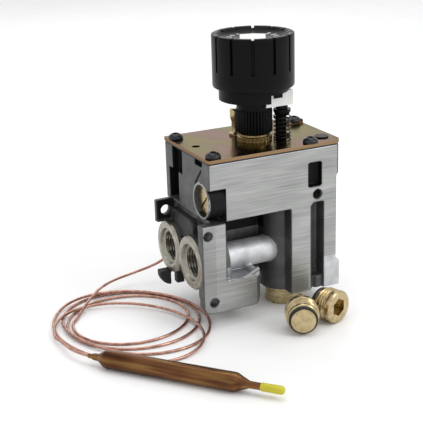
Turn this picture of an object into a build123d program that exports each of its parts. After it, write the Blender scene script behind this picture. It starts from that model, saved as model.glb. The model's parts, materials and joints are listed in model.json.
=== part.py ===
from build123d import *
import math
import os

# Thermostatic gas control valve with a pilot safety unit, a push-and-turn knob
# and a remote sensing bulb on a coiled copper capillary.
# Millimetres, +Z up. Everything is laid out from the knob's axis (X = Y = 0),
# with Z = 0 on the underside of the casting; write() then moves the finished
# piece so that the origin is the centre of the gas inlet where its thread starts.

# ---- driving dimensions ------------------------------------------------------
BODY_LEFT, BODY_RIGHT = -46.2, 44.0      # upper casting, along X
LOWER_RIGHT = 41.2                       # casting below its upper storey
BODY_FRONT, BODY_BACK = -30.1, 33.2      # casting along Y
COVER_RIGHT, COVER_BACK = 45.2, 34.8     # cover plate's far edges
LOW_FRONT_BOTTOM = -1.3                  # front flange and low block hang a little lower
CASTING_TOP = 93.0
BELLY_Z = 56.5                           # underside of the upper, full-width casting
GASKET_THICKNESS = 0.7
PLATE_THICKNESS = 2.0
PLATE_TOP = CASTING_TOP + GASKET_THICKNESS + PLATE_THICKNESS
FLOOR_Z = -12.0                          # surface that the valve stands on

PORT_FACE_X = -52.0                      # mouth plane of both gas ports
PORT_Z = 27.0
INLET_Y, OUTLET_Y = -11.0, 22.0
PORT_RIM_RADIUS = 17.0
PORT_THREAD_MINOR, PORT_THREAD_MAJOR = 9.32, 10.48   # Rp 1/2 pipe thread radii
PORT_THREAD_PITCH, PORT_THREAD_TURNS = 1.814, 7
PORT_LEAD_IN = 1.6                       # depth of the bevel before the thread
PORT_THREAD_END = 15.0                   # depth of the threaded bore from the mouth
THREAD_START_X = PORT_FACE_X + PORT_LEAD_IN
PASSAGE_RADIUS = 6.5

STEM_X, STEM_Y = 15.7, -7.1              # axis of push stem, safety valve and magnet
CHAMBER_OUTER_RADIUS, CHAMBER_RADIUS = 16.0, 12.5
PRESS_TRAVEL = 5.5                       # knob, stem and safety disc travel
SAFETY_SEAT_Z, SAFETY_SEAT_BORE = 44.0, 6.0
MAGNET_NUT_RADIUS, MAGNET_THREAD_RADIUS = 12.0, 10.5
MAGNET_TOP, POLE_FACE_Z = 22.0, 20.5
THERMOCOUPLE_RADIUS, THERMOCOUPLE_DEPTH = 4.0, 10.0

FLANGE_HOLES, FLANGE_HOLE_RADIUS = [(-44.8, 6.0), (-47.9, 49.2)], 2.75      # front flange, M5
FLANGE_BACK, LOW_BLOCK_RIGHT = -23.5, -11.3
REAR_FLANGE_FRONT, REAR_FLANGE_BACK = 22.5, 27.5
LUG_X, LUG_Z, LUG_HOLE_RADIUS = -52.0, 51.4, 3.25
SADDLE_LEFT = -48.2                      # clear of the screw in the lug
REAR_SLOT_X, REAR_SLOT_HALF, REAR_SLOT_END = -48.2, 2.0, 7.6

COVER_SCREWS = [(-40.6, -24.8), (-42.0, 25.4), (24.5, -26.4), (39.6, 20.0)]
COVER_SCREW_RADIUS, COVER_SCREW_HEAD = 2.0, 4.7
SIGHT_HOLE, BLANK_HOLE, PILLAR = (-38.7, 2.8), (37.0, -18.5), (-6.6, 13.9)
BUSH_NECK_RADIUS, STEM_GUIDE_HOLE = 8.0, 4.3
EARTH_TAB_THICKNESS = 0.8

KNOB_RADIUS, KNOB_BOTTOM, KNOB_TOP = 25.1, 129.3, 161.6
KNOB_GROOVES = 12
KNOB_GROOVE_ANGLE = 242.0                # one groove faces this way, from +X
SKIRT_RADIUS, SKIRT_BOTTOM, SKIRT_TOP = 21.4, 121.6, 129.0
HUB_RADIUS, HUB_BOTTOM, HUB_SPLINE_TOP, HUB_TOP = 11.4, 100.3, 115.0, 122.0
HUB_SPLINES = 36
SPINDLE_RADIUS, SOCKET_RADIUS, DRIVE_TOP = 4.0, 9.0, 134.0
CARRIER_TOP = 126.6
COLLAR_TOP, COLLAR_BOTTOM = 117.4, 110.3

BOSS_Y, BOSS_Z, BOSS_RADIUS, BOSS_BORE = -19.1, 68.3, 11.0, 9.8   # pressure regulator
BOSS_END_X = -18.0
REGULATOR_PLATE_X, REGULATOR_SPRING_LENGTH = -30.2, 9.4
REGULATOR_SLOT_ANGLE = -45.0
PILOT_SCREW_X, PILOT_SCREW_Z = 27.5, 63.2

OUTLET_RISER_X, OUTLET_RISER_Y = -4.0, 13.2   # main valve axis
UPPER_CHAMBER = (-38.0, 36.5, -22.5, 22.5, 62.0, CASTING_TOP)
MAIN_SEAT_TOP, MAIN_SEAT_OUTER, MAIN_VALVE_LIFT = 65.0, 9.0, 1.8
LEVER_PIVOT_X, LEVER_Z, LEVER_HALF_THICKNESS = -24.0, 73.5, 1.2
CAPSULE_TOP, CAPSULE_BOTTOM = 85.5, 79.5

PILOT_X, PILOT_Y = -18.0, 8.0            # pilot gas outlet under the casting
PILOT_THREAD_RADIUS, PILOT_TUBE_RADIUS, PILOT_TUBE_DEPTH = 4.5, 4.3, 9.0

GLAND_X, GLAND_Z, GLAND_THREAD_RADIUS = -18.0, 76.0, 4.0   # capillary's way out
GLAND_END_Y = 38.0
CAPILLARY_DIAMETER = 1.8
BULB_RADIUS, BULB_LENGTH = 5.5, 80.4
BULB_START = (-120.8, -43.6)             # bulb body's end nearest the coil
BULB_DIRECTION = (0.652, -0.759)
BULB_Z = FLOOR_Z + BULB_RADIUS

# The coil's turns, from the first to the last: centre, half axes.
COIL_TURNS = [((-85.8, 8.8), (35.0, 37.0)), ((-84.8, 6.6), (42.8, 39.5)),
              ((-85.6, 3.1), (50.4, 41.6)), ((-92.6, -6.6), (50.8, 37.8))]
COIL_TILT = -67.0                        # direction of the turns' first half axis
COIL_HEIGHT = 6.0
COIL_BULB_GAP = 6.5                      # from the bulb's axis to the coil's flat side

PLUG_RADIUS, PLUG_LENGTH = 10.4, 16.5    # loose G 1/2 blanking plugs
PLUG_A_FACE, PLUG_A_ANGLE = (-3.2, -65.1), 244.0     # O-ring end, direction it faces
PLUG_B_FACE, PLUG_B_ANGLE = (26.0, -58.3), 290.0     # socket end, direction it faces

RUN_CLEARANCE = 0.05                     # radial, shaft in its bore
GAP = 0.3                                # between pieces that only pass each other

# Capillary centre line from the gland to the coil, then from the coil to the bulb.
LEAD_ROUTE = [
    (-18.0, 38.0, 76.0), (-18.0, 45.0, 76.0), (-18.1, 51.0, 72.0), (-18.6, 53.5, 63.0),
    (-19.8, 54.0, 49.0), (-22.6, 53.8, 33.0), (-28.4, 53.9, 17.8), (-36.2, 54.6, 7.6),
    (-46.0, 56.6, 1.4), (-61.0, 61.0, -3.4), (-77.5, 59.6, -5.2), (-89.5, 52.4, -5.9),
    (-98.8, 42.8, -6.6),
]
TAIL_ROUTE = [
    (-133.8, 8.5, -10.2), (-134.9, -2.0, -9.3), (-134.8, -13.5, -8.1), (-133.4, -23.5, -7.1),
    (-131.1, -30.4, -6.5), (-128.3, -34.9, -6.5),
]


# ---- small helpers -------------------------------------------------------------
def block(x0, x1, y0, y1, z0, z1):
    """Box between two corners."""
    centre = Pos((x0 + x1) / 2, (y0 + y1) / 2, (z0 + z1) / 2)
    return centre * Box(x1 - x0, y1 - y0, z1 - z0)


def post(x, y, z0, z1, radius):
    """Upright cylinder."""
    return Pos(x, y, (z0 + z1) / 2) * Cylinder(radius, z1 - z0)


def bar_x(y, z, x0, x1, radius):
    """Cylinder along X."""
    return Pos((x0 + x1) / 2, y, z) * Rot(0, 90, 0) * Cylinder(radius, x1 - x0)


def bar_y(x, z, y0, y1, radius):
    """Cylinder along Y."""
    return Pos(x, (y0 + y1) / 2, z) * Rot(90, 0, 0) * Cylinder(radius, y1 - y0)


def upright_edges(shape, radius, keep):
    """Round the vertical edges of a shape that keep() accepts."""
    edges = [e for e in shape.edges().filter_by(Axis.Z) if keep(e.center())]
    return fillet(edges, radius)


def turned(points):
    """Solid of revolution about Z from (radius, height) points."""
    outline = make_face(Polyline([(r, 0, z) for r, z in points], close=True))
    return revolve(outline, Axis.Z)


def coil_spring(bottom, height, mean_radius, wire, turns):
    """Helical spring on the Z axis, standing on z = bottom."""
    rise = height - wire
    path = Helix(pitch=rise / turns, height=rise, radius=mean_radius)
    section = Plane(origin=path @ 0, z_dir=path % 0) * Circle(wire / 2)
    return Pos(0, 0, bottom + wire / 2) * sweep(section, path=path, is_frenet=True)


def hexagon(across_flats, z0, z1):
    """Hexagonal prism on the Z axis."""
    face = RegularPolygon(across_flats / 2, 6, major_radius=False)
    return Pos(0, 0, z0) * extrude(face, z1 - z0)


def slotted_disc(radius, thickness, slot_width, slot_depth, slot_angle):
    """Disc from z = 0 up, with a screwdriver slot across its top."""
    disc = Pos(0, 0, thickness / 2) * Cylinder(radius, thickness)
    slot = Pos(0, 0, thickness) * Rot(0, 0, slot_angle) * Box(3 * radius, slot_width, 2 * slot_depth)
    return disc - slot


def write(shape, node):
    """Save one piece with the origin moved to the start of the gas inlet's thread."""
    placed = Pos(-THREAD_START_X, -INLET_Y, -PORT_Z) * shape
    placed.label = node
    export_step(placed, f"parts/{node}.step")


# ---- casting -------------------------------------------------------------------
def port_thread(y):
    """Threaded bore of a gas port: bore, ring grooves for the thread, and lead-in bevel."""
    bore = bar_x(y, PORT_Z, PORT_FACE_X - 1, PORT_FACE_X + PORT_THREAD_END, PORT_THREAD_MINOR)
    groove = turned([(PORT_THREAD_MINOR - 0.5, 0), (PORT_THREAD_MINOR, 0),
                     (PORT_THREAD_MAJOR, PORT_THREAD_PITCH * 0.35),
                     (PORT_THREAD_MINOR, PORT_THREAD_PITCH * 0.7),
                     (PORT_THREAD_MINOR - 0.5, PORT_THREAD_PITCH * 0.7)])
    lead_in = Pos(0, 0, PORT_LEAD_IN / 2) * Cone(PORT_THREAD_MAJOR + 0.9, PORT_THREAD_MINOR, PORT_LEAD_IN)
    along_x = Pos(PORT_FACE_X, y, PORT_Z) * Rot(0, 90, 0)
    thread = bore + along_x * lead_in
    for i in range(PORT_THREAD_TURNS):
        thread += along_x * Pos(0, 0, PORT_LEAD_IN + 0.5 + i * PORT_THREAD_PITCH) * groove
    return thread


def port_head(y):
    """Round boss with a chamfered machined rim that carries one gas port."""
    head = bar_x(y, PORT_Z, PORT_FACE_X, -32.0, PORT_RIM_RADIUS)
    rim = head.edges().filter_by(GeomType.CIRCLE).sort_by(Axis.X)[0]
    return chamfer(rim, 1.2)


def casting_outside():
    """Outer shape of the casting, before its chambers and holes are cut."""
    front, back = BODY_FRONT, BODY_BACK
    upper = block(BODY_LEFT, BODY_RIGHT, front, back, 74.0, CASTING_TOP)
    upper = upright_edges(upper, 4.0, lambda c: c.X > 0 and c.Y < 0)
    middle = block(BODY_LEFT, LOWER_RIGHT, front, back, BELLY_Z, 74.0)
    right_leg = block(8.9, LOWER_RIGHT, front, back, 0.0, BELLY_Z)
    right_foot = block(32.0, 43.8, front, 22.1, 0.0, 17.0)
    back_wall = block(-44.0, 8.9, -3.0, back, 8.0, BELLY_Z)
    left_wall = block(-43.0, -35.6, front, -3.0, LOW_FRONT_BOTTOM, BELLY_Z)
    low_block = block(-35.6, LOW_BLOCK_RIGHT, front, -6.0, LOW_FRONT_BOTTOM, 18.0)
    low_edge = low_block.edges().filter_by(Axis.Z).group_by(Axis.X)[-1].sort_by(Axis.Y)[0]
    low_block = chamfer(low_edge, 4.2)
    shape = upper + middle + right_leg + right_foot + back_wall + left_wall + low_block
    for y in (INLET_Y, OUTLET_Y):
        shape += port_head(y)
    inlet_passage = bar_x(INLET_Y - 1.0, PORT_Z, -36.0, 1.0, 8.6)
    inlet_nose = Pos(5.0, INLET_Y - 1.0, PORT_Z) * Rot(0, 90, 0) * Cone(8.6, 3.0, 8.0)
    outlet_passage = bar_x(OUTLET_Y, PORT_Z, -34.0, 6.0, 12.0)
    chamber = post(STEM_X, STEM_Y, 0.0, BELLY_Z + 1.0, CHAMBER_OUTER_RADIUS)
    pilot_boss = post(PILOT_X, PILOT_Y, 0.0, 12.0, 7.5)
    saddle = block(SADDLE_LEFT, -42.0, -9.0, 25.0, 38.0, 52.3)
    saddle = fillet(saddle.edges().filter_by(Axis.X).group_by(Axis.Y)[0].sort_by(Axis.Z)[-1], 6.0)
    return shape + inlet_passage + inlet_nose + outlet_passage + chamber + pilot_boss + saddle


def mounting_flanges():
    """Front flange strip and rear flange with its lug."""
    front = block(-51.9, -42.0, BODY_FRONT, FLANGE_BACK, LOW_FRONT_BOTTOM, 55.6)
    corner = front.edges().filter_by(Axis.Y).group_by(Axis.X)[0].sort_by(Axis.Z)[0]
    front = fillet(corner, 6.0)
    rear = block(-58.0, -41.0, REAR_FLANGE_FRONT, REAR_FLANGE_BACK, 0.0, 58.3)
    corner = rear.edges().filter_by(Axis.Y).group_by(Axis.X)[0].sort_by(Axis.Z)[0]
    rear = fillet(corner, 9.0)
    return front + (rear - bar_x(OUTLET_Y, PORT_Z, -70.0, PORT_FACE_X, PORT_RIM_RADIUS))


def mounting_holes():
    """Two screw holes in the front flange, the lug's hole and the rear flange's slot."""
    holes = bar_y(LUG_X, LUG_Z, -10.0, 40.0, LUG_HOLE_RADIUS)
    for x, z in FLANGE_HOLES:
        holes += bar_y(x, z, -40.0, FLANGE_BACK + 0.5, FLANGE_HOLE_RADIUS)
    holes += block(-48.0, -41.8, FLANGE_BACK, -12.0, 3.0, 9.0)
    x0, x1 = REAR_SLOT_X - REAR_SLOT_HALF, REAR_SLOT_X + REAR_SLOT_HALF
    holes += block(x0, x1, 10.0, 40.0, -1.0, REAR_SLOT_END)
    return holes + bar_y(REAR_SLOT_X, REAR_SLOT_END, 10.0, 40.0, REAR_SLOT_HALF)


def casting_front_cuts():
    """Recesses seen on the front face: windows, grooves and the regulator's notch."""
    front = BODY_FRONT
    pocket = block(21.1, 30.3, front - 1, front + 4.5, 68.7, 83.7)
    test_hole = bar_y(PILOT_SCREW_X, PILOT_SCREW_Z, front - 1, front + 4.8, 3.0)
    test_hole += bar_y(PILOT_SCREW_X, PILOT_SCREW_Z, front, -16.0, 2.0)
    groove = block(24.2, 32.0, front - 1, front + 9.0, 8.0, 58.0)
    below_groove = block(24.2, 32.0, front - 1, front + 2.0, -1.0, 8.0)
    column_side = Pos(26.0, front, 28.0) * Rot(0, 0, 45) * Box(5.0, 5.0, 58.0)
    notch = block(BODY_LEFT - 6, -35.6, front - 1, -14.0, 55.7, 77.0)
    strip_line = block(-43.4, -42.6, front - 1, front + 0.8, 9.0, 46.0)
    return pocket + test_hole + groove + below_groove + column_side + notch + strip_line


def casting_side_cuts():
    """Channels down the left face, the small notch under the cover and a drip groove."""
    upper_channel = block(BODY_LEFT - 1, BODY_LEFT + 5.0, 8.0, 22.0, 78.0, CASTING_TOP + 1)
    lower_channel = block(BODY_LEFT - 1, BODY_LEFT + 7.0, 14.0, 27.5, 58.0, 78.0)
    cover_notch = block(BODY_LEFT - 1, BODY_LEFT + 3.0, -20.5, -11.0, 89.5, CASTING_TOP + 1)
    drip = Pos(BODY_LEFT, -15.0, 82.2) * Rot(41, 0, 0) * Box(1.6, 1.4, 13.0)
    return upper_channel + lower_channel + cover_notch + drip


def casting_chambers():
    """Gas ways and chambers inside the casting."""
    ways = port_thread(INLET_Y) + port_thread(OUTLET_Y)
    ways += bar_x(INLET_Y, PORT_Z, PORT_FACE_X + 10, STEM_X, PASSAGE_RADIUS)
    ways += bar_x(OUTLET_Y, PORT_Z, PORT_FACE_X + 10, OUTLET_RISER_X, PASSAGE_RADIUS + 1.0)
    ways += post(OUTLET_RISER_X, OUTLET_RISER_Y + 2.0, PORT_Z - 2.0, 60.0, PASSAGE_RADIUS)
    ways += post(OUTLET_RISER_X, OUTLET_RISER_Y, 58.0, 63.0, MAIN_SEAT_OUTER)
    ways += post(STEM_X, STEM_Y, 8.0, SAFETY_SEAT_Z, CHAMBER_RADIUS)
    ways += post(STEM_X, STEM_Y, -1.0, 9.0, MAGNET_THREAD_RADIUS)
    ways += post(STEM_X, STEM_Y, SAFETY_SEAT_Z - 1, 63.0, SAFETY_SEAT_BORE)
    upper = block(*UPPER_CHAMBER)
    regulator_wall = bar_x(BOSS_Y, BOSS_Z, BODY_LEFT, BOSS_END_X, BOSS_RADIUS + 1.0)
    ways += upper - regulator_wall
    ways += bar_x(BOSS_Y, BOSS_Z, BODY_LEFT - 1, BOSS_END_X - 2.5, BOSS_BORE)
    ways += bar_x(BOSS_Y, BOSS_Z, BOSS_END_X - 4, BOSS_END_X + 3, 3.0)
    ways += post(PILOT_X, PILOT_Y, -1.0, 9.0, PILOT_THREAD_RADIUS)
    ways += post(PILOT_X, PILOT_Y, 8.0, 63.0, 1.5)
    ways += bar_y(GLAND_X, GLAND_Z, 20.0, 40.0, GLAND_THREAD_RADIUS)
    for x, y in COVER_SCREWS:
        ways += post(x, y, CASTING_TOP - 9.0, CASTING_TOP + 1, COVER_SCREW_RADIUS)
    return ways


def valve_body():
    """Aluminium die casting."""
    shape = casting_outside() - casting_front_cuts() - casting_side_cuts()
    shape += bar_x(BOSS_Y, BOSS_Z, BODY_LEFT - 0.8, -34.0, BOSS_RADIUS)
    shape += mounting_flanges()
    return shape - mounting_holes() - casting_chambers()


def cover_outline(right, back, z0, z1):
    """Plate outline with the holes that the screws and working parts pass."""
    plate = block(BODY_LEFT - 0.1, right, BODY_FRONT, back, z0, z1)
    plate = upright_edges(plate, 6.0, lambda c: c.X > 0 and c.Y < 0)
    plate = upright_edges(plate, 1.5, lambda c: c.X < 0 or c.Y > 0)
    for x, y in COVER_SCREWS:
        plate -= post(x, y, z0 - 1, z1 + 1, COVER_SCREW_RADIUS + 0.2)
    return plate


def cover_gasket():
    window = block(-37.0, 35.5, -21.5, 21.5, CASTING_TOP - 1, CASTING_TOP + 2)
    top = CASTING_TOP + GASKET_THICKNESS
    return cover_outline(BODY_RIGHT + 0.2, BODY_BACK, CASTING_TOP, top) - window


def cover_plate():
    low = CASTING_TOP + GASKET_THICKNESS
    plate = cover_outline(COVER_RIGHT, COVER_BACK, low, PLATE_TOP)
    plate -= post(0, 0, low - 1, PLATE_TOP + 1, BUSH_NECK_RADIUS)
    plate -= post(STEM_X, STEM_Y, low - 1, PLATE_TOP + 1, STEM_GUIDE_HOLE)
    plate -= post(*SIGHT_HOLE, low - 1, PLATE_TOP + 1, 2.5)
    plate -= post(*BLANK_HOLE, low - 1, PLATE_TOP + 1, 3.2)
    plate -= post(*PILLAR, low - 1, PLATE_TOP + 1, 1.6)
    return plate


def cover_screws():
    """Four pan-head cover screws."""
    screws = []
    for x, y in COVER_SCREWS:
        base = PLATE_TOP + (EARTH_TAB_THICKNESS if (x, y) == COVER_SCREWS[-1] else 0.0)
        head = turned([(0, 0), (COVER_SCREW_HEAD, 0), (COVER_SCREW_HEAD, 1.6), (4.1, 2.9),
                       (2.6, 3.7), (0, 3.9)])
        head -= Pos(0, 0, 3.9) * Rot(0, 0, 30) * Box(5.6, 1.0, 2.4)
        head -= Pos(0, 0, 3.9) * Rot(0, 0, 120) * Box(5.6, 1.0, 2.4)
        shank = post(0, 0, CASTING_TOP - 8.5 - base, 0.0, COVER_SCREW_RADIUS)
        screws.append(Pos(x, y, base) * (head + shank))
    return Compound(children=screws)


def earth_tab():
    """Spade terminal under the rear right cover screw, its blade bent up a little."""
    x, y = COVER_SCREWS[-1]
    flat = block(x - 4.5, x + 5.0, y - 3.2, y + 3.2, PLATE_TOP, PLATE_TOP + EARTH_TAB_THICKNESS)
    blade = block(x + 5.0, x + 5.8, y - 2.4, y + 2.4, PLATE_TOP, PLATE_TOP + 2.2)
    return flat + blade - post(x, y, PLATE_TOP - 1, PLATE_TOP + 2, COVER_SCREW_RADIUS)


def blanking_cap():
    """Black cap pressed into the spare hole of the cover."""
    x, y = BLANK_HOLE
    return post(x, y, PLATE_TOP, PLATE_TOP + 0.8, 4.4) + post(x, y, PLATE_TOP - 2.0, PLATE_TOP, 3.2)


def guide_pillar():
    """Brass pillar riveted into the cover beside the spindle."""
    base = PLATE_TOP
    profile = [(0, -2.0), (1.6, -2.0), (1.6, 0), (3.4, 0), (3.4, 1.6), (2.0, 2.4), (2.0, 9.5),
               (2.8, 11.8), (2.8, 16.2), (2.2, 17.2), (0, 17.2)]
    return Pos(*PILLAR, base) * turned(profile)


# ---- knob, spindle and press carriage -----------------------------------------------
def spindle_bush():
    """Brass bush that carries the spindle, clamped in the cover."""
    profile = [(SPINDLE_RADIUS + RUN_CLEARANCE, -7.0), (BUSH_NECK_RADIUS - 0.6, -7.0),
               (BUSH_NECK_RADIUS, -6.0), (BUSH_NECK_RADIUS, 0), (11.0, 0), (11.0, 2.4),
               (9.6, 4.2), (SPINDLE_RADIUS + RUN_CLEARANCE, 4.2)]
    return Pos(0, 0, PLATE_TOP) * turned(profile)


def spindle():
    """Steel spindle; its lower end bears on the bellows capsule."""
    shaft = post(0, 0, CAPSULE_TOP + GAP, DRIVE_TOP, SPINDLE_RADIUS)
    return chamfer(shaft.edges().sort_by(Axis.Z)[0], 0.8)


def spline_hub():
    """Splined driver pressed on the spindle; the knob slides on its upper end."""
    core = turned([(SPINDLE_RADIUS, HUB_BOTTOM), (HUB_RADIUS - 0.8, HUB_BOTTOM),
                   (HUB_RADIUS - 0.8, HUB_SPLINE_TOP), (HUB_RADIUS - 0.6, HUB_TOP),
                   (SOCKET_RADIUS, HUB_TOP), (SOCKET_RADIUS, DRIVE_TOP), (SPINDLE_RADIUS, DRIVE_TOP)])
    spline = Pos(HUB_RADIUS - 0.75, 0, 0) * block(-0.75, 0.75, -0.5, 0.5, HUB_BOTTOM, HUB_SPLINE_TOP)
    for i in range(HUB_SPLINES):
        core += Rot(0, 0, i * 360 / HUB_SPLINES) * spline
    drive_flat = block(SOCKET_RADIUS - 1.2, SOCKET_RADIUS + 2, -10, 10, HUB_TOP + 0.6, DRIVE_TOP + 1)
    return core - drive_flat


def knob():
    """Hollow knob with finger grooves, a dished top and a socket for the spline hub."""
    shell = turned([(0, KNOB_TOP - 3.4), (7.0, KNOB_TOP - 3.4), (19.0, KNOB_TOP - 2.6),
                    (21.6, KNOB_TOP), (KNOB_RADIUS - 0.8, KNOB_TOP), (KNOB_RADIUS, KNOB_TOP - 0.8),
                    (KNOB_RADIUS, KNOB_BOTTOM + 1.0), (KNOB_RADIUS - 1.0, KNOB_BOTTOM),
                    (0, KNOB_BOTTOM)])
    shell -= post(0, 0, KNOB_BOTTOM - 1, KNOB_TOP - 6.5, KNOB_RADIUS - 2.6)
    shell += post(0, 0, KNOB_BOTTOM, KNOB_TOP - 5.0, SOCKET_RADIUS + 2.5)
    socket = post(0, 0, KNOB_BOTTOM - 1, KNOB_BOTTOM + 12.0, SOCKET_RADIUS + RUN_CLEARANCE)
    flat = SOCKET_RADIUS - 1.2 + RUN_CLEARANCE
    socket -= block(flat, flat + 5, -12, 12, KNOB_BOTTOM - 1, KNOB_BOTTOM + 12.0)
    shell -= socket
    groove = block(KNOB_RADIUS - 1.3, KNOB_RADIUS + 1, -0.7, 0.7, KNOB_BOTTOM + 10.6, KNOB_TOP + 1)
    notch = block(KNOB_RADIUS - 4.4, KNOB_RADIUS + 1, -0.7, 0.7, KNOB_TOP - 1.3, KNOB_TOP + 1)
    for i in range(KNOB_GROOVES):
        turn = Rot(0, 0, KNOB_GROOVE_ANGLE + i * 360 / KNOB_GROOVES)
        shell -= turn * (groove + notch)
    return shell - knob_insert()


def knob_insert():
    """White marker pressed into the knob's top, from its middle towards the front."""
    bar = block(-5.0, 16.0, -7.8, 7.8, KNOB_TOP - 5.0, KNOB_TOP - 1.9)
    return Rot(0, 0, KNOB_GROOVE_ANGLE) * bar


def carriage_ring(radius, inner, z0, z1):
    return post(0, 0, z0, z1, radius) - post(0, 0, z0 - 1, z1 + 1, inner)


def press_skirt():
    """Black skirt under the knob; it slides with the knob but does not turn."""
    skirt = carriage_ring(SKIRT_RADIUS, SKIRT_RADIUS - 1.8, SKIRT_BOTTOM, SKIRT_TOP)
    skirt += carriage_ring(SKIRT_RADIUS, HUB_RADIUS + 1.2, SKIRT_TOP - 1.4, SKIRT_TOP)
    return skirt - block(0.6, 30.0, -30.0, 6.0, SKIRT_BOTTOM - 1, CARRIER_TOP)


def press_carrier():
    """White yoke that takes the knob's push to the stem beside the spindle."""
    yoke = block(1.7, 20.3, -13.2, 5.0, 117.4, CARRIER_TOP)
    yoke -= block(6.6, 12.9, -14.0, -11.4, 122.5, 125.9)
    leg = block(18.4, 20.3, -3.0, 3.0, 111.0, 118.0)
    pads = block(1.7, 20.3, -13.2, -10.0, CARRIER_TOP, SKIRT_TOP - 1.4)
    pads &= post(0, 0, CARRIER_TOP, SKIRT_TOP, SKIRT_RADIUS - 1.9)
    passages = post(0, 0, 110.0, 131.0, HUB_RADIUS + 0.9) + post(STEM_X, STEM_Y, 110.0, COLLAR_TOP, 6.0)
    return yoke + leg + pads - passages


def push_stem():
    """Black two-legged stem with its spring collar, and the rod to the safety valve."""
    collar = turned([(0, 110.3), (4.2, 110.3), (5.4, 112.6), (5.4, 114.2), (3.6, 114.2),
                     (3.6, COLLAR_TOP), (0, COLLAR_TOP)])
    bar = block(-1.4, 1.8, -2.2, 2.2, 86.0, 111.0)
    side_leg = block(-3.9, -2.9, -1.3, 1.3, 90.0, 111.0)
    foot = block(-3.9, 1.8, -1.3, 1.3, 88.5, 90.0)
    rod = post(0, 0, SAFETY_SEAT_Z - GAP + 0.1, 88.0, 1.5)
    return Pos(STEM_X, STEM_Y, 0) * (collar + bar + side_leg + foot + rod)


def return_spring():
    """Spring that lifts the stem, carrier and knob."""
    height = COLLAR_BOTTOM - PLATE_TOP - 0.1
    return Pos(STEM_X, STEM_Y, 0) * coil_spring(PLATE_TOP + 0.05, height, 5.1, 0.7, 3.5)


# ---- pilot safety unit -----------------------------------------------------------------
def magnet_nut():
    """Brass nut of the magnet unit, with the thermocouple's threaded seat below."""
    body = turned([(0, FLOOR_Z), (MAGNET_NUT_RADIUS - 0.8, FLOOR_Z), (MAGNET_NUT_RADIUS, FLOOR_Z + 0.8),
                   (MAGNET_NUT_RADIUS, -3.0), (MAGNET_NUT_RADIUS + 0.9, -2.6),
                   (MAGNET_NUT_RADIUS + 0.9, -0.4), (MAGNET_THREAD_RADIUS, 0), (MAGNET_THREAD_RADIUS, 8.0),
                   (0, 8.0)])
    body -= post(0, 0, FLOOR_Z - 1, FLOOR_Z + THERMOCOUPLE_DEPTH, THERMOCOUPLE_RADIUS)
    body -= post(0, 0, -3.0, 9.0, 2.0)
    return Pos(STEM_X, STEM_Y, 0) * body


def magnet_can():
    """Steel can round the electromagnet, standing on the nut."""
    return Pos(STEM_X, STEM_Y, 0) * turned([(7.2, 8.0), (8.2, 8.0), (8.2, MAGNET_TOP), (7.2, MAGNET_TOP)])


def magnet_winding():
    """Copper winding round the iron core."""
    return Pos(STEM_X, STEM_Y, 0) * turned([(3.2, 9.0), (7.0, 9.0), (7.0, 19.0), (3.2, 19.0)])


def magnet_core():
    """Iron core with a flat pole face."""
    core = turned([(0, 8.0), (6.0, 8.0), (6.0, 9.0), (3.2, 9.0), (3.2, POLE_FACE_Z), (0, POLE_FACE_Z)])
    return Pos(STEM_X, STEM_Y, 0) * core


def safety_armature():
    """Armature plate and stem under the safety valve disc."""
    lift = POLE_FACE_Z + PRESS_TRAVEL + GAP
    plate = turned([(0, lift), (6.2, lift), (6.2, lift + 2.0), (1.6, lift + 2.0), (1.6, 40.0), (0, 40.0)])
    return Pos(STEM_X, STEM_Y, 0) * plate


def safety_disc():
    """Rubber-faced disc that shuts the inlet seat."""
    return post(STEM_X, STEM_Y, 40.0, SAFETY_SEAT_Z - GAP, 8.6)


def safety_spring():
    """Spring that shuts the safety valve when the magnet lets go."""
    height = 40.0 - MAGNET_TOP - 0.2
    return Pos(STEM_X, STEM_Y, 0) * coil_spring(MAGNET_TOP + 0.1, height, 7.7, 0.7, 4.0)


# ---- thermostat: bellows, lever and main valve -----------------------------------------
def bellows_capsule():
    """Liquid-filled capsule that swells with the bulb's temperature."""
    profile = [(0, CAPSULE_BOTTOM), (10.5, CAPSULE_BOTTOM)]
    for fold in range(3):
        base = CAPSULE_BOTTOM + fold * 2.0
        profile += [(12.0, base + 0.5), (12.0, base + 1.2), (10.5, base + 1.7)]
    return turned(profile + [(10.5, CAPSULE_TOP), (0, CAPSULE_TOP)])


def capsule_bracket():
    """Steel strap that hangs the capsule from the casting's ledge."""
    strap = block(-20.0, -8.0, -5.0, 5.0, CAPSULE_BOTTOM, CAPSULE_BOTTOM + 1.5)
    strap -= post(0, 0, CAPSULE_BOTTOM - 1, CAPSULE_TOP, 12.0)
    foot = block(-20.0, -18.5, -5.0, 5.0, 62.0, CAPSULE_BOTTOM + 1.5)
    return strap + foot - block(-21.0, -18.0, -2.8, 2.8, 61.0, 77.5)


def bellows_stud():
    """Push stud on the capsule's moving side."""
    return post(0, 0, LEVER_Z + LEVER_HALF_THICKNESS + 0.5, CAPSULE_BOTTOM - 0.1, 2.5)


def lever_bracket():
    """Two-eared bearing block for the thermostat lever, screwed to the chamber floor."""
    base = block(-29.0, -22.5, -6.5, 6.5, 62.0, 63.5)
    ears = block(-27.0, LEVER_PIVOT_X + 3.0, -6.5, -4.5, 62.0, LEVER_Z + 3.0)
    ears += block(-27.0, LEVER_PIVOT_X + 3.0, 4.5, 6.5, 62.0, LEVER_Z + 3.0)
    return base + ears - bar_y(LEVER_PIVOT_X, LEVER_Z, -8.0, 8.0, 1.5)


def lever_pin():
    return bar_y(LEVER_PIVOT_X, LEVER_Z, -7.5, 7.5, 1.5)


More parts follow.
